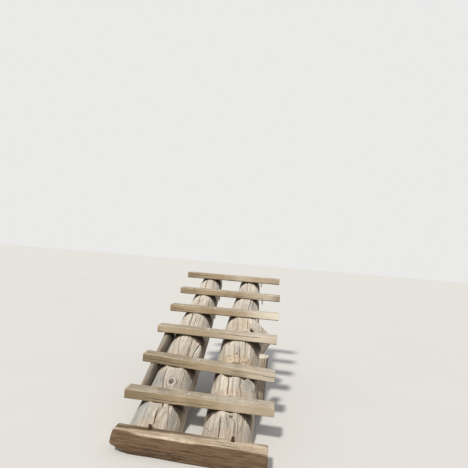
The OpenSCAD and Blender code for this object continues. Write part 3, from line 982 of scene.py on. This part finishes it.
class Skin:
    """The surface of a weathered log while its marks are worked into it: for each point its
    turn, distance along, smooth radius r, and out, its radius with the marks so far."""

    def __init__(self, log, turn, s, r, seed):
        self.log, self.turn, self.s, self.r, self.seed = log, turn, s, r, seed
        cx, sx = np.cos(turn), np.sin(turn)
        wide = rough(cx * 1.4, sx * 1.4, s * 3.2, seed)
        flute = noise(cx * 5, sx * 5, s * 1.1, seed + 5)
        ridge = noise(cx * 19, sx * 19, s * 4, seed + 9)
        self.out = r + 0.0034 * wide + 0.0018 * flute + 0.0010 * ridge

    def away(self, pixel):
        """How far each point lies from a pixel's place, sideways and along."""
        turn, s = self.log.find(*pixel)
        return wrap(self.turn - turn) * self.r, self.s - s

    def beside(self, path, seed):
        """How far each point lies to the right of a line of pixels, and a fade at its ends."""
        places = sorted((self.log.find(*pixel) for pixel in path), key=lambda place: place[1])
        turns, s = zip(*places)
        middle = np.interp(self.s, s, turns) + 0.012 * rough(self.s * 24, 0, 0, seed, 2)
        fade = (step_up(self.s, s[0] - 0.05, s[0] + 0.02)
                * (1 - step_up(self.s, s[-1] - 0.02, s[-1] + 0.05)))
        return wrap(self.turn - middle) * self.r, fade

    def swell(self, swellings):
        for pixel, wide, long, height in swellings:
            aside, ahead = self.away(pixel)
            self.out = self.out + height * hump(np.hypot(aside / wide, ahead / long), 1.0)

    def fold(self, folds):
        for path, drop, reach in folds:
            right, fade = self.beside(path, self.seed + 37)
            self.out = self.out - drop * fade * step_up(right, -0.006, 0.006) * np.exp(
                -np.maximum(right, 0) / reach)

    def chop(self, ramps):
        """Chops ramps that start steeply at their low edge and run out. Returns a mask of
        their torn wood."""
        chopped = np.zeros_like(self.r)
        for pixel, wide, long, deep in ramps:
            aside, ahead = self.away(pixel)
            across = hump(aside, wide) ** 0.5
            far = (ahead + 0.016 * noise(self.turn * 7, 0, 0, self.seed + 71)) / long
            ramp = np.clip(1 - far, 0, 1) * (far > -0.6)
            torn = rough(self.turn * 9, self.s * 45, 0, self.seed + 73)
            self.out = self.out - across * (deep * ramp + 0.007 * torn * np.sqrt(ramp))
            chopped = np.maximum(chopped, np.clip(across * 2.5, 0, 1) * step_up(ramp, 0.02, 0.30)
                                 * np.clip(0.80 + 0.5 * torn, 0, 1))
        return chopped

    def crack(self, checks):
        """Opens checks, finer towards the head. Returns a mask of their dark openings."""
        opened = np.zeros_like(self.r)
        for path, width, depth in checks:
            right, fade = self.beside(path, self.seed + 31)
            half = width * (0.30 + 0.55 * fade)
            half = half * (1 + 0.3 * noise(self.s * 40, 3, 0, self.seed + 41))
            half = half * np.interp(self.s, (0.6, 2.2), (0.95, 0.65))
            cut = np.clip(1 - np.abs(right) / np.maximum(half, 0.0022), 0, 1) * fade
            self.out = self.out - depth * np.sqrt(cut) * fade
            opened = np.maximum(opened, np.sqrt(cut) * min(1.0, 0.28 + depth / 0.024))
        return opened

    def knot(self, knots):
        """Raises knots. Returns a mark that is above 0 on a knot's dark heart and rim, and
        below 0 on the pale ring between them."""
        mark = np.zeros_like(self.r)
        for pixel, size, broad in knots:
            aside, ahead = self.away(pixel)
            d = np.hypot(aside / broad, ahead * 0.75) / size
            d = d * (1 + 0.14 * rough(self.turn * 22, self.s * 14, 0, self.seed + 81))
            core = (1 - step_up(d, 0.50, 0.75)) * (0.78 + 0.22 * np.cos(d * 22))
            halo = step_up(d, 0.70, 0.82) * (1 - step_up(d, 0.92, 1.10))
            patchy = step_up(rough(self.turn * 9, self.s * 5, 0, self.seed + 83), -0.5, 0.3)
            rim = 0.60 * hump(d - 1.18, 0.20) * patchy
            mark = np.where(core + rim > halo, np.maximum(mark, core + rim),
                            np.where(halo > 0.02, -halo, mark))
            self.out = self.out + 0.006 * hump(d - 0.75, 0.9) - 0.010 * hump(d, 0.60)
        return mark

    def blotch_mask(self, stains_and_shade, seed):
        """A mask of soft blotches, which are stains for the greyed and tanned marks and painted
        shade for the shade marks.
        """
        mask = np.zeros_like(self.r)
        ragged = 1 + 0.35 * rough(self.turn * 6, self.s * 9, 0, seed)
        for pixel, wide, long, strength in stains_and_shade:
            aside, ahead = self.away(pixel)
            d = np.hypot(aside / wide, ahead / long) * ragged
            mask = np.maximum(mask, strength * (1 - step_up(d, 0.35, 1.25)))
        return mask


def log_shape(log, seed, checks=(), knots=(), swellings=(), folds=(), ramps=(), stains_and_shade=None):
    """How a weathered debarked log departs from a smooth taper, and the marks on it."""
    stains_and_shade = stains_and_shade or {}

    def shape(turn, s, r):
        skin = Skin(log, turn, s, r, seed)
        skin.swell(swellings)
        skin.fold(folds)
        chopped = skin.chop(ramps)
        marks = {"opened": skin.crack(checks), "knot": skin.knot(knots), "hewn": chopped}
        for k, key in enumerate(("greyed", "tanned", "painted_shade")):
            marks[key] = skin.blotch_mask(stains_and_shade.get(key, ()), seed + 61 + 6 * k)
        return skin.out, marks

    return shape


def seat_tools(numbers=range(1, TREAD_COUNT + 1)):
    """One box for each tread's seat, with the shelf in front of it."""
    return [slab_tool(f"seat_{n}", -FRONT_LEAD,
                      TREAD_DEPTH + (HEAD_ROOM if n == 1 else BACK_GAP),
                      -TREAD_THICKNESS, HEAD_ROOM, tread_matrix(n))
            for n in numbers]


def end_tools():
    """Boxes, well larger than the logs, that cut foot and head plumb and the foot level."""
    return [slab_tool("plumb_foot", FOOT_Y - 0.6, FOOT_Y, -1.8, 1.8),
            slab_tool("plumb_head", FLIGHT_BACK, FLIGHT_BACK + 1.2, -1.8, 2.8),
            slab_tool("level_foot", -0.9, 2.6, -1.8, 0.0)]


def fork_chop():
    """A box that gives the fork its straight upper edge, on the plane through the eye and the
    edge's two ends."""
    high_end, low_end = sight(*FORK_EDGE_HIGH), sight(*FORK_EDGE_LOW)
    outward = high_end.cross(low_end).normalized()
    outward = -outward if outward.z < 0 else outward
    turn, s = RIGHT_LOG.find(*FORK_EDGE_HIGH)
    r = float(RIGHT_LOG.radius(s))
    near = RIGHT_LOG.matrix @ Vector((r * math.sin(turn), -r * math.cos(turn), s))
    turned = Matrix((high_end.cross(outward), high_end, outward)).transposed().to_4x4()
    return box_tool("fork_chop", (-0.01, -0.20, 0.0), (0.42, 0.20, 0.30),
                    Matrix.Translation(near) @ turned, LOG_WOOD)


def has_pin(number, side):
    return number >= 2 if side < 0 else number <= 3


def pin_x(number, side):
    y = step_y(step_of(number))
    if side < 0:
        return log_x(-1, y) + LEFT_STAND_OFF + log_radius(-1, y)
    if number == 3:
        return log_x(1, y) + BRANCH_SPREAD
    return log_x(1, y) + RIGHT_STAND_OFF + log_radius(1, y)


def pin_bore(name, number, side, z0, z1, material):
    """The bore of a tread's pin, in the tread's own place."""
    return bore_tool(name, pin_x(number, side) - TREAD_SHIFT[number - 1], TREAD_DEPTH / 2,
                     z0, z1, PIN_DIAMETER, material, tread_matrix(number))


# How far the logs are lofted along their own length, and how finely.
LOG_LOFT = {"s0": 0.18, "s1": 2.92, "rings": 280, "around": 400, "top_share": 0.78}


# The right log's second stem: the steps it runs between, its diameter where it starts, and
# how far below and above the log's own crown line its two ends lie.
STEM_FROM, STEM_TO = step_y(2.9), step_y(4.1)
STEM_START, STEM_SINK, STEM_RISE = BRANCH_DIAMETER * 0.82, 0.030, 0.014


def make_fork_stem():
    """The second stem, which is sawn off under tread 3."""
    x = log_x(1, STEM_FROM)
    low = axis_point(x, STEM_FROM, RIGHT_DROP + STEM_SINK, STEM_START)
    high = axis_point(x + BRANCH_SPREAD, STEM_TO, RIGHT_DROP - STEM_RISE, BRANCH_DIAMETER)
    stem = RoundLog(low, high, STEM_START, BRANCH_DIAMETER)
    shape = log_shape(stem, 83, swellings=[FORK_HOLLOW], stains_and_shade=BRANCH_STAINS_AND_SHADE)
    return stem.loft("branch_stub", 0.0, stem.length, 50, 200, 0.7, shape, LOG_WOOD)


def make_logs():
    shape = log_shape(LEFT_LOG, 11, LEFT_OPEN_CHECKS, LEFT_KNOTS, LEFT_SWELLINGS, LEFT_FOLDS,
                      stains_and_shade=LEFT_STAINS)
    left = LEFT_LOG.loft("log_left_wood", shape=shape, material=LOG_WOOD, **LOG_LOFT)
    carve(left, end_tools() + seat_tools())
    shape = log_shape(RIGHT_LOG, 47, RIGHT_OPEN_CHECKS, RIGHT_KNOTS, RIGHT_SWELLINGS,
                      RIGHT_FOLDS, RIGHT_RAMPS, RIGHT_STAINS_AND_SHADE)
    right = RIGHT_LOG.loft("log_right_wood", shape=shape, material=LOG_WOOD, **LOG_LOFT)
    carve(right, [make_fork_stem()], "UNION")
    bore = pin_bore("fork_pin_bore", 3, 1, -TREAD_THICKNESS - 0.065, 0.0, CUT_WOOD)
    carve(right, end_tools() + seat_tools() + [bore, fork_chop()])
    finish(left, "log_left")
    finish(right, "log_right")


# Treads.
def rounded_section(depth, thickness, radii, count):
    """Points round a board's section (front at y 0, top at z 0) and their outward directions.
    radii are those of the top front, top back, low back and low front edges."""
    top_front, top_back, low_back, low_front = radii
    corners = [((top_front, -top_front), top_front, 180),
               ((depth - top_back, -top_back), top_back, 90),
               ((depth - low_back, low_back - thickness), low_back, 0),
               ((low_front, low_front - thickness), low_front, -90)]
    line, out = [], []
    for (cy, cz), r, start in corners:
        for a in np.radians(np.linspace(start, start - 90, 7)):
            line.append((cy + r * math.cos(a), cz + r * math.sin(a)))
            out.append((math.cos(a), math.sin(a)))
    line, out = (np.array(rows + rows[:1]) for rows in (line, out))
    far = np.concatenate([[0], np.cumsum(np.hypot(*np.diff(line, axis=0).T))])
    want = np.unique(np.concatenate([np.linspace(0, far[-1], count, endpoint=False), far[:-1]]))
    want = want[np.concatenate([[True], np.diff(want) > 0.0006])]
    points, outward = (np.stack([np.interp(want, far, rows[:, i]) for i in (0, 1)], -1)
                       for rows in (line, out))
    return points, outward / np.linalg.norm(outward, axis=1)[:, None]


# Splits of each tread: the face, where it starts and ends along the tread, how far back from
# the front edge on the top, or how high on the front, then width and depth.
TREAD_SPLITS = {
    1: [("front", -0.62, -0.25, -0.030, 0.0025, 0.006), ("top", 0.20, 0.62, 0.070, 0.003, 0.008)],
    2: [("top", 0.25, 0.64, 0.045, 0.004, 0.010), ("front", -0.1, 0.45, -0.050, 0.0025, 0.005)],
    3: [("front", -0.64, -0.32, -0.044, 0.003, 0.007), ("top", -0.64, -0.2, 0.060, 0.003, 0.008)],
    4: [("front", 0.02, 0.48, -0.022, 0.003, 0.006), ("top", 0.2, 0.64, 0.085, 0.003, 0.008)],
    5: [("top", -0.64, -0.30, 0.050, 0.005, 0.012), ("front", -0.64, -0.10, -0.046, 0.003, 0.007),
        ("front", 0.2, 0.64, -0.030, 0.0025, 0.006)],
    6: [("top", -0.64, -0.25, 0.075, 0.004, 0.010), ("front", -0.45, 0.15, -0.052, 0.003, 0.006)],
}

# Marks along each tread: places along it in metres, and strengths there. The shade marks are painted
# shadow, mostly at a tread's left end.
TREAD_TONES = {
    1: [("bleached", (-0.2, 0.0, 0.12, 0.3), (0.05, 0.20, 0.42, 0.12)),
        ("painted_shade", (-0.62, -0.48, -0.36), (0.55, 0.45, 0))],
    2: [("bleached", (-0.1, 0.15, 0.42, 0.52, 0.62), (0, 0.05, 0.38, 0.45, 0.15)),
        ("painted_shade", (-0.62, -0.5, 0.50, 0.55, 0.60), (0.25, 0, 0, 0.35, 0.45))],
    3: [("bleached", (0.0, 0.25, 0.42, 0.60), (0, 0.20, 0.75, 1.0)),
        ("painted_shade", (-0.62, -0.52), (0.35, 0))],
    4: [("bleached", (-0.1, 0.15, 0.45, 0.6), (0.12, 0.34, 0.66, 0.45)),
        ("painted_shade", (-0.62, -0.55), (0.2, 0))],
    5: [("bleached", (-0.1, 0.30, 0.50), (0, 0.20, 0.45)),
        ("painted_shade", (-0.62, -0.42, -0.26, -0.10), (0.75, 0.70, 0.30, 0))],
    6: [("bleached", (0.1, 0.30, 0.5), (0, 0.35, 0.2)),
        ("painted_shade", (-0.62, -0.44, -0.30), (0.65, 0.50, 0.05))],
}
TREAD_RINGS, TREAD_AROUND, END_ROUND = 170, 110, 0.006
# Radii of a tread's top front, top back and low back edges. The low front edge is worn on the
# upper treads, down to this number, and still sharp on the others.
EDGE_RADII = (0.008, 0.005, 0.004)
WORN_EDGE, SHARP_EDGE, LAST_WORN = 0.017, 0.006, 4
# The end grain's rings, as shares of the board's outline.
CAP_SHARES = (0.86, 0.66, 0.44, 0.22)


def tread_wear(x, y, z, top, edge, seed):
    """How far the skin stands off the sawn board: saw waviness, less the trodden hollow
    between the logs and the knocked edges."""
    trodden = hump(x - 0.05, 0.55) * 0.0022 * np.clip(top, 0, 1)
    saw = 0.0005 * noise(x * 120, y * 3, z * 3, seed) + 0.0008 * rough(x * 4, y * 9, z * 9, seed + 1)
    nick = step_up(noise(x * 26, y * 6, z * 6, seed + 2), 0.35, 0.85) * edge * 0.0045
    edge_wave = edge * 0.0016 * noise(x * 9, y * 2, z * 2, seed + 6)
    return saw - trodden - nick - edge_wave


def end_grain(outline, x, way, seed):
    """Rings of points over a board's end, from its outline in, with saw marks and shakes."""
    middle = np.array([TREAD_DEPTH / 2, -TREAD_THICKNESS / 2])
    rings = []
    for share in CAP_SHARES:
        yz = middle + (outline - middle) * share
        turn = np.arctan2(yz[:, 1] - middle[1], yz[:, 0] - middle[0])
        shake = 0.0035 * step_up(np.abs(noise(turn * 3.2, way, 0, seed + 12)), 0.30, 0.02) * share
        sink = 0.0012 * rough(yz[:, 0] * 60, yz[:, 1] * 60, way, seed + 8) - shake
        rings.append(np.c_[np.full(len(yz), x) + way * sink, yz])
    return rings, [x, *middle]


def tread_board(number):
    """A sawn and weathered board as a lofted skin with worn edges, splits and end grain."""
    seed = 100 + 13 * number
    low_front = WORN_EDGE if number <= LAST_WORN else SHARP_EDGE
    section, outward = rounded_section(TREAD_DEPTH, TREAD_THICKNESS, (*EDGE_RADII, low_front),
                                       TREAD_AROUND)
    half = TREAD_LENGTH / 2
    curl = np.linspace(0, math.pi / 2, 5)[1:]
    x = np.concatenate([-half + END_ROUND * (1 - np.sin(curl[::-1])),
                        np.linspace(-half + END_ROUND, half - END_ROUND, TREAD_RINGS),
                        half - END_ROUND * (1 - np.sin(curl))])
    inset = np.concatenate([END_ROUND * (1 - np.cos(curl[::-1])), np.zeros(TREAD_RINGS),
                            END_ROUND * (1 - np.cos(curl))])[:, None]
    x, y, z, out_y, out_z = np.broadcast_arrays(x[:, None], *section.T, *outward.T)
    edge = 1 - np.clip(np.abs(np.abs(out_y) - np.abs(out_z)) * 1.6, 0, 1)
    off, opened = tread_wear(x, y, z, out_z, edge, seed), np.zeros_like(x)
    for face, x0, x1, place, width, deep in TREAD_SPLITS[number]:
        across, side = (y, out_z > 0.9) if face == "top" else (z, out_y < -0.9)
        line = place + 0.003 * noise(x * 9, 1, 0, seed + 3)
        fade = stretch_fade(x, x0, x1, 0.05)
        cut = np.clip(1 - np.abs(across - line) / (width * (0.4 + 0.6 * fade)), 0, 1) * fade * side
        off = off - deep * np.sqrt(cut)
        opened = np.maximum(opened, cut)
    y, z = y + out_y * (off - inset), z + out_z * (off - inset)
    body = np.stack([x, y, z], -1)
    marks = {"edge": edge * step_up(noise(x * 14, y * 9, z * 9, seed + 4), -0.7, 0.5),
             "opened": opened}
    ragged = x + 0.05 * rough(x * 5, y * 14, z * 14, seed + 14)
    for key, places, strengths in TREAD_TONES[number]:
        marks[key] = np.interp(ragged, places, strengths)
    low_rings, low_middle = end_grain(body[0, :, 1:], x[0, 0], -1, seed)
    high_rings, high_middle = end_grain(body[-1, :, 1:], x[-1, 0], 1, seed)
    rings = np.concatenate([low_rings[::-1], body, high_rings])
    mesh = tube_mesh(f"tread_{number}_timber", rings, [low_middle, high_middle], TREAD_WOOD,
                     marks, lead=len(CAP_SHARES), inside_out=True)
    return add_object(f"tread_{number}_timber", mesh, tread_matrix(number))


def make_treads():
    for number in range(1, TREAD_COUNT + 1):
        piece = tread_board(number)
        tools = [pin_bore("pin_bore", number, side, -TREAD_THICKNESS - 0.02, 0.02, TREAD_WOOD)
                 for side in (-1, 1) if has_pin(number, side)]
        if tools:
            carve(piece, tools)
        finish(piece, f"tread_{number}", 38)


# Sill.
SILL_RINGS, SILL_AROUND = 230, 230
SILL_X = SILL_SHIFT - SILL_LENGTH / 2
# The round log that the sill was slabbed from: its axis, and its diameters at its two ends.
SILL_AXIS_Y, SILL_AXIS_Z = FRONT_Y + SILL_HEIGHT * 0.66, SILL_HEIGHT * 0.46
SILL_BUTT, SILL_TIP = SILL_HEIGHT * 1.42, SILL_HEIGHT * 1.26
# The worn slope under its left end: where it starts, and how it falls.
SLOPE_START, SLOPE_FALL = SILL_HEIGHT * 0.45, math.tan(math.radians(24))
# Checks: from and to along the sill, the turn round it in radians, width and depth.
SILL_CHECKS = [(-0.10, 0.42, 2.92, 0.0026, 0.004), (-0.42, 0.05, 3.22, 0.0026, 0.004),
               (0.20, 0.60, 3.50, 0.0030, 0.005), (-0.52, -0.18, 1.36, 0.0030, 0.005),
               (0.02, 0.30, 1.44, 0.0024, 0.004)]
# Where the pale shoulder starts and where the streaky back strip starts, along the sill.
SHOULDER_FROM = (-0.45, -0.27, 0.10, 0.30), (-0.025, -0.040, -0.041, -0.048)
STRIP_FROM = (-0.45, -0.27, -0.05, 0.10, 0.30), (0.010, 0.014, 0.032, 0.034, 0.025)


def within(r, lean, reach):
    """Keeps radii inside a plane at a distance, where lean is how much each faces it."""
    return np.where(lean > 0.02, np.minimum(r, reach / np.maximum(lean, 0.02)), r)


def sill_radius(x, dy, dz):
    """The sill's radius towards (dy, dz), before its checks: rough, ribbed on its front, and
    flat on its top, underside and back."""
    r = (SILL_TIP + (SILL_BUTT - SILL_TIP) * (x - SILL_X) / SILL_LENGTH) / 2
    r = r + 0.004 * rough(x * 5, dy * 1.5, dz * 1.5, 301)
    ribs = 0.0050 * noise(x * 1.3, dy * 9, dz * 9, 305)
    r = r + step_up(-dy, 0.1, 0.7) * (ribs + 0.0025 * noise(x * 5, dy * 26, dz * 26, 307))
    top = SILL_HEIGHT - SILL_AXIS_Z - 0.0012 + 0.0012 * rough(x * 7, dy * 3, 0, 311)
    top = top - 0.006 * step_up(-dy * r, 0.055, 0.10) * (1 + noise(x * 6, 0, 0, 313))
    r = within(r, dz, top)
    r = within(r, -dz, SILL_AXIS_Z)
    r = within(r, dy, FOOT_Y - SILL_AXIS_Y)
    low = (SLOPE_START - (x - SILL_X) * SLOPE_FALL) - SILL_AXIS_Z
    worn = low / np.minimum(dz, -0.02)
    return np.where((low < 0) & (dz < -0.02), np.minimum(r, np.maximum(worn, 0.002)), r)


def sill_marks(x, y, z):
    """The streaky back strip and the worn shoulder on the sill's top."""
    ragged = y + 0.010 * rough(x * 4, y * 20, z * 20, 331)
    high = z > SILL_HEIGHT * 0.7
    strip_y, shoulder_y = np.interp(x, *STRIP_FROM), np.interp(x, *SHOULDER_FROM)
    strip = step_up(ragged, strip_y - 0.003, strip_y + 0.005) * high
    shoulder = step_up(ragged, shoulder_y - 0.006, shoulder_y + 0.004) * high
    return {"strip": strip * np.interp(x, (-0.05, 0.22), (1.0, 0.15)),
            "shoulder": shoulder * np.interp(x, (-0.5, -0.1, 0.2), (0.88, 0.92, 1.0))}


def make_sill():
    turn, x = np.meshgrid(np.linspace(0, 2 * np.pi, SILL_AROUND, endpoint=False),
                          np.linspace(SILL_X, SILL_X + SILL_LENGTH, SILL_RINGS))
    dy, dz = np.cos(turn), np.sin(turn)
    r, opened = sill_radius(x, dy, dz), np.zeros_like(x)
    for k, (x0, x1, at, width, deep) in enumerate(SILL_CHECKS):
        fade = stretch_fade(x, x0, x1, 0.08)
        line = at + 0.07 * noise(x * 5, k, 0, 321)
        cut = np.clip(1 - np.abs(wrap(turn - line)) * r / (width * (0.5 + 0.5 * fade)), 0, 1) * fade
        r = r - deep * np.sqrt(cut)
        opened = np.maximum(opened, cut)
    # The ends are broken back a little.
    end = np.minimum(x - SILL_X, SILL_X + SILL_LENGTH - x)
    r = r * (1 - 0.05 * (1 - step_up(end, 0, 0.012)))
    y, z = SILL_AXIS_Y + r * dy, np.maximum(SILL_AXIS_Z + r * dz, 0.0)
    middles = [[end_x, SILL_AXIS_Y, SILL_AXIS_Z]
               for end_x in (SILL_X + 0.004, SILL_X + SILL_LENGTH - 0.004)]
    mesh = tube_mesh("sill_wood", np.stack([x, y, z], -1), middles, SILL_WOOD,
                     {"opened": opened, **sill_marks(x, y, z)})
    piece = add_object("sill_timber", mesh)
    carve(piece, [bore_tool("bar_bore", side * BAR_SIDE + SILL_SHIFT, FOOT_Y - BAR_BACK, -0.02,
                            SILL_HEIGHT + 0.02, BAR_DIAMETER, SILL_WOOD) for side in (-1, 1)])
    finish(piece, "sill")


# Side pole and stake. The pole's two ends lie this far in front of treads' backs.
POLE_FOOT_IN, POLE_HEAD_IN = 0.036, 0.012


def make_side_pole():
    """A short round pole that lies against the left log's flank under treads 4 to 6."""
    low_y = step_y(1) + TREAD_DEPTH - POLE_FOOT_IN
    high_y = step_y(3) + TREAD_DEPTH - POLE_HEAD_IN
    ends = []
    for y, wide in ((low_y, POLE_FOOT), (high_y, POLE_HEAD)):
        x = log_x(-1, y) - 2 * math.sqrt(log_radius(-1, y) * wide / 2) - POLE_GAP
        ends.append(axis_point(x, y, POLE_DROP, wide))
    spare = (ends[1] - ends[0]) * 0.06
    pole = RoundLog(ends[0] - spare, ends[1] + spare, POLE_FOOT, POLE_HEAD)
    weathered_shape = log_shape(pole, 131)

    def shape(turn, s, r):
        """Painted shade on the pole's right side, which lies against the log."""
        out, marks = weathered_shape(turn, s, r)
        dark = 0.9 * step_up(turn + 0.2 * noise(s * 9, 0, 0, 137), -0.5, 0.7)
        marks["painted_shade"] = np.maximum(marks["painted_shade"], dark)
        return out, marks

    piece = pole.loft("side_pole_wood", 0, pole.length, 110, 180, 0.7, shape, POLE_WOOD)
    tools = [slab_tool("pole_foot", low_y - 0.9, low_y, -0.9, 2.0),
             slab_tool("pole_head", high_y, high_y + 0.9, -0.9, 2.0)]
    carve(piece, tools + seat_tools((3, 4, 5, 6)))
    finish(piece, "side_pole")


# The stake stands beside the log where it is this many steps up.
STAKE_STEP = 2.4
STAKE_POINT = STAKE_WIDTH * 1.1
STAKE_CORNER, STAKE_ROUND, STAKE_AROUND = 0.007, 0.006, 88
# The split lies this far right of the stake's middle.
SPLIT_X = 0.012
# The plane that the right front corner is hewn off along: its direction and its distance.
HEWN_X, HEWN_Y, HEWN_REACH = 0.86, -0.51, STAKE_WIDTH * 0.50


def make_stake():
    """The square stake behind tread 5: split top, rounded corners, hewn point."""
    half, shoulder = STAKE_WIDTH / 2, STAKE_STAND - STAKE_ROUND
    section, outward = rounded_section(STAKE_WIDTH, STAKE_WIDTH, (STAKE_CORNER,) * 4,
                                       STAKE_AROUND)
    section = section - [half, -half]
    curl = np.linspace(0, np.pi / 2, 5)[1:]
    z = np.concatenate([np.linspace(-STAKE_LENGTH - STAKE_POINT, -STAKE_LENGTH, 22)[:-1],
                        np.linspace(-STAKE_LENGTH, shoulder, 70),
                        STAKE_STAND - STAKE_ROUND * (1 - np.sin(curl))])
    size = np.interp(z, [-STAKE_LENGTH - STAKE_POINT, -STAKE_LENGTH, shoulder, STAKE_STAND],
                     [0.09, 1, 1, 0.87])[:, None]
    x, y = section[:, 0] * size, section[:, 1] * size
    z = np.repeat(z[:, None], len(section), 1)
    grain = (0.0014 * rough(x * 30, y * 30, z * 4, 411)
             + 0.0008 * noise(x * 130, y * 130, z * 5, 413))
    split = np.clip(1 - np.abs(x - SPLIT_X - 0.006 * noise(z * 9, 0, 0, 415)) / 0.0035, 0, 1)
    split = split * step_up(z, STAKE_STAND - 0.16, STAKE_STAND - 0.02) * (np.abs(y) > half * 0.8)
    off = grain - 0.010 * split
    x, y = x + outward[:, 0] * off, y + outward[:, 1] * off
    proud = x * HEWN_X + y * HEWN_Y - HEWN_REACH + 0.003 * noise(z * 22, 0, 0, 421)
    proud = np.maximum(proud, 0) * (z > -STAKE_LENGTH)
    x, y = x - HEWN_X * proud, y - HEWN_Y * proud
    z[-1] = z[-1] + 0.0025 * noise(section[:, 0] * 50, section[:, 1] * 50, 0, 417)
    rings = [*np.stack([x, y, z], -1)]
    for share in (0.7, 0.4, 0.15):
        cap_x, cap_y = x[-1] * share, y[-1] * share
        crack = np.clip(1 - np.abs(cap_x - SPLIT_X) / 0.004, 0, 1) * 0.008
        cap_z = STAKE_STAND + 0.003 * rough(cap_x * 60, cap_y * 60, 0, 419) - crack
        rings.append(np.stack([cap_x, cap_y, cap_z], -1))
    rings = np.stack(rings)
    middles = [[0, 0, -STAKE_LENGTH - STAKE_POINT - 0.002], [0, 0, STAKE_STAND]]
    heights = np.concatenate([rings[:, :, 2].ravel(), [at[2] for at in middles]])
    # The hewn face gets the shade mark: painted shade.
    marks = {"opened": split, "painted_shade": step_up(proud, 0, 0.004),
             "bleached": step_up(heights, STAKE_STAND - 0.022, STAKE_STAND - 0.006)}
    place_y = step_y(STAKE_STEP)
    place_x = log_x(1, place_y) + log_radius(1, place_y) + STAKE_GAP + half
    place = tread_matrix(5) @ Matrix.Translation((place_x, TREAD_DEPTH + half, 0))
    mesh = tube_mesh("stake_timber", rings, middles, STAKE_WOOD, marks)
    finish(add_object("stake_timber", mesh, place), "stake")


# Pins and bars.
def dress_pins():
    metals = {"tread_pin": PIN_STEEL, "sill_pin": BAR_IRON}
    for name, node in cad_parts.items():
        for start, metal in metals.items():
            if name.startswith(start):
                for slot in node.material_slots:
                    slot.material = metal


# Stage and light.
FLOOR_HALF = 40
# The key light stands behind the camera: degrees turned to its left and above level.
KEY_FROM_LEFT, KEY_HEIGHT, KEY_STRENGTH, KEY_SOFTNESS = 20, 50, 2.5, 6
KEY_COLOUR, FILL_STRENGTH = (1.0, 0.955, 0.885), 0.44


def make_stage():
    material, net = new_material("pale_floor")
    place = net.add("ShaderNodeTexCoord").outputs["Object"]
    net.shade({"Base Color": net.mix(net.noise(place, 0.8, 2.0), (226, 225, 222), (232, 231, 228)),
               "Roughness": 0.85})
    corners = [(x * FLOOR_HALF, y * FLOOR_HALF, 0) for x, y in ((-1, -1), (1, -1), (1, 1), (-1, 1))]
    add_object("floor", build_mesh("floor", corners, [(0, 1, 2, 3)], material=material))


def make_light():
    scene.view_settings.view_transform = "Standard"
    world = bpy.data.worlds.new("studio")
    scene.world = world
    world.use_nodes = True
    net = Net(world.node_tree)
    net.tree.nodes.clear()
    rays = net.add("ShaderNodeLightPath").outputs
    seen = net.math("MAXIMUM", rays["Is Camera Ray"],
                    net.math("MAXIMUM", rays["Is Glossy Ray"], rays["Is Transmission Ray"]))
    fill, pale = (net.add("ShaderNodeBackground", {"Color": colour, "Strength": strength}).outputs[0]
                  for colour, strength in ((srgb(240, 241, 244), FILL_STRENGTH),
                                           (srgb(234, 234, 233), 1.0)))
    both = net.add("ShaderNodeMixShader", {0: seen, 1: fill, 2: pale})
    net.add("ShaderNodeOutputWorld", {0: both.outputs[0]})
    data = bpy.data.lights.new("high_key", "SUN")
    data.energy = KEY_STRENGTH
    data.angle = math.radians(KEY_SOFTNESS)
    data.color = KEY_COLOUR
    turn, height = math.radians(KEY_FROM_LEFT), math.radians(KEY_HEIGHT)
    toward = Vector((-math.sin(turn) * math.cos(height), -math.cos(turn) * math.cos(height),
                     math.sin(height)))
    add_object("high_key", data, toward.to_track_quat("Z", "Y").to_matrix().to_4x4())


make_camera()
make_logs()
make_treads()
make_sill()
make_side_pole()
make_stake()
dress_pins()
make_stage()
make_light()
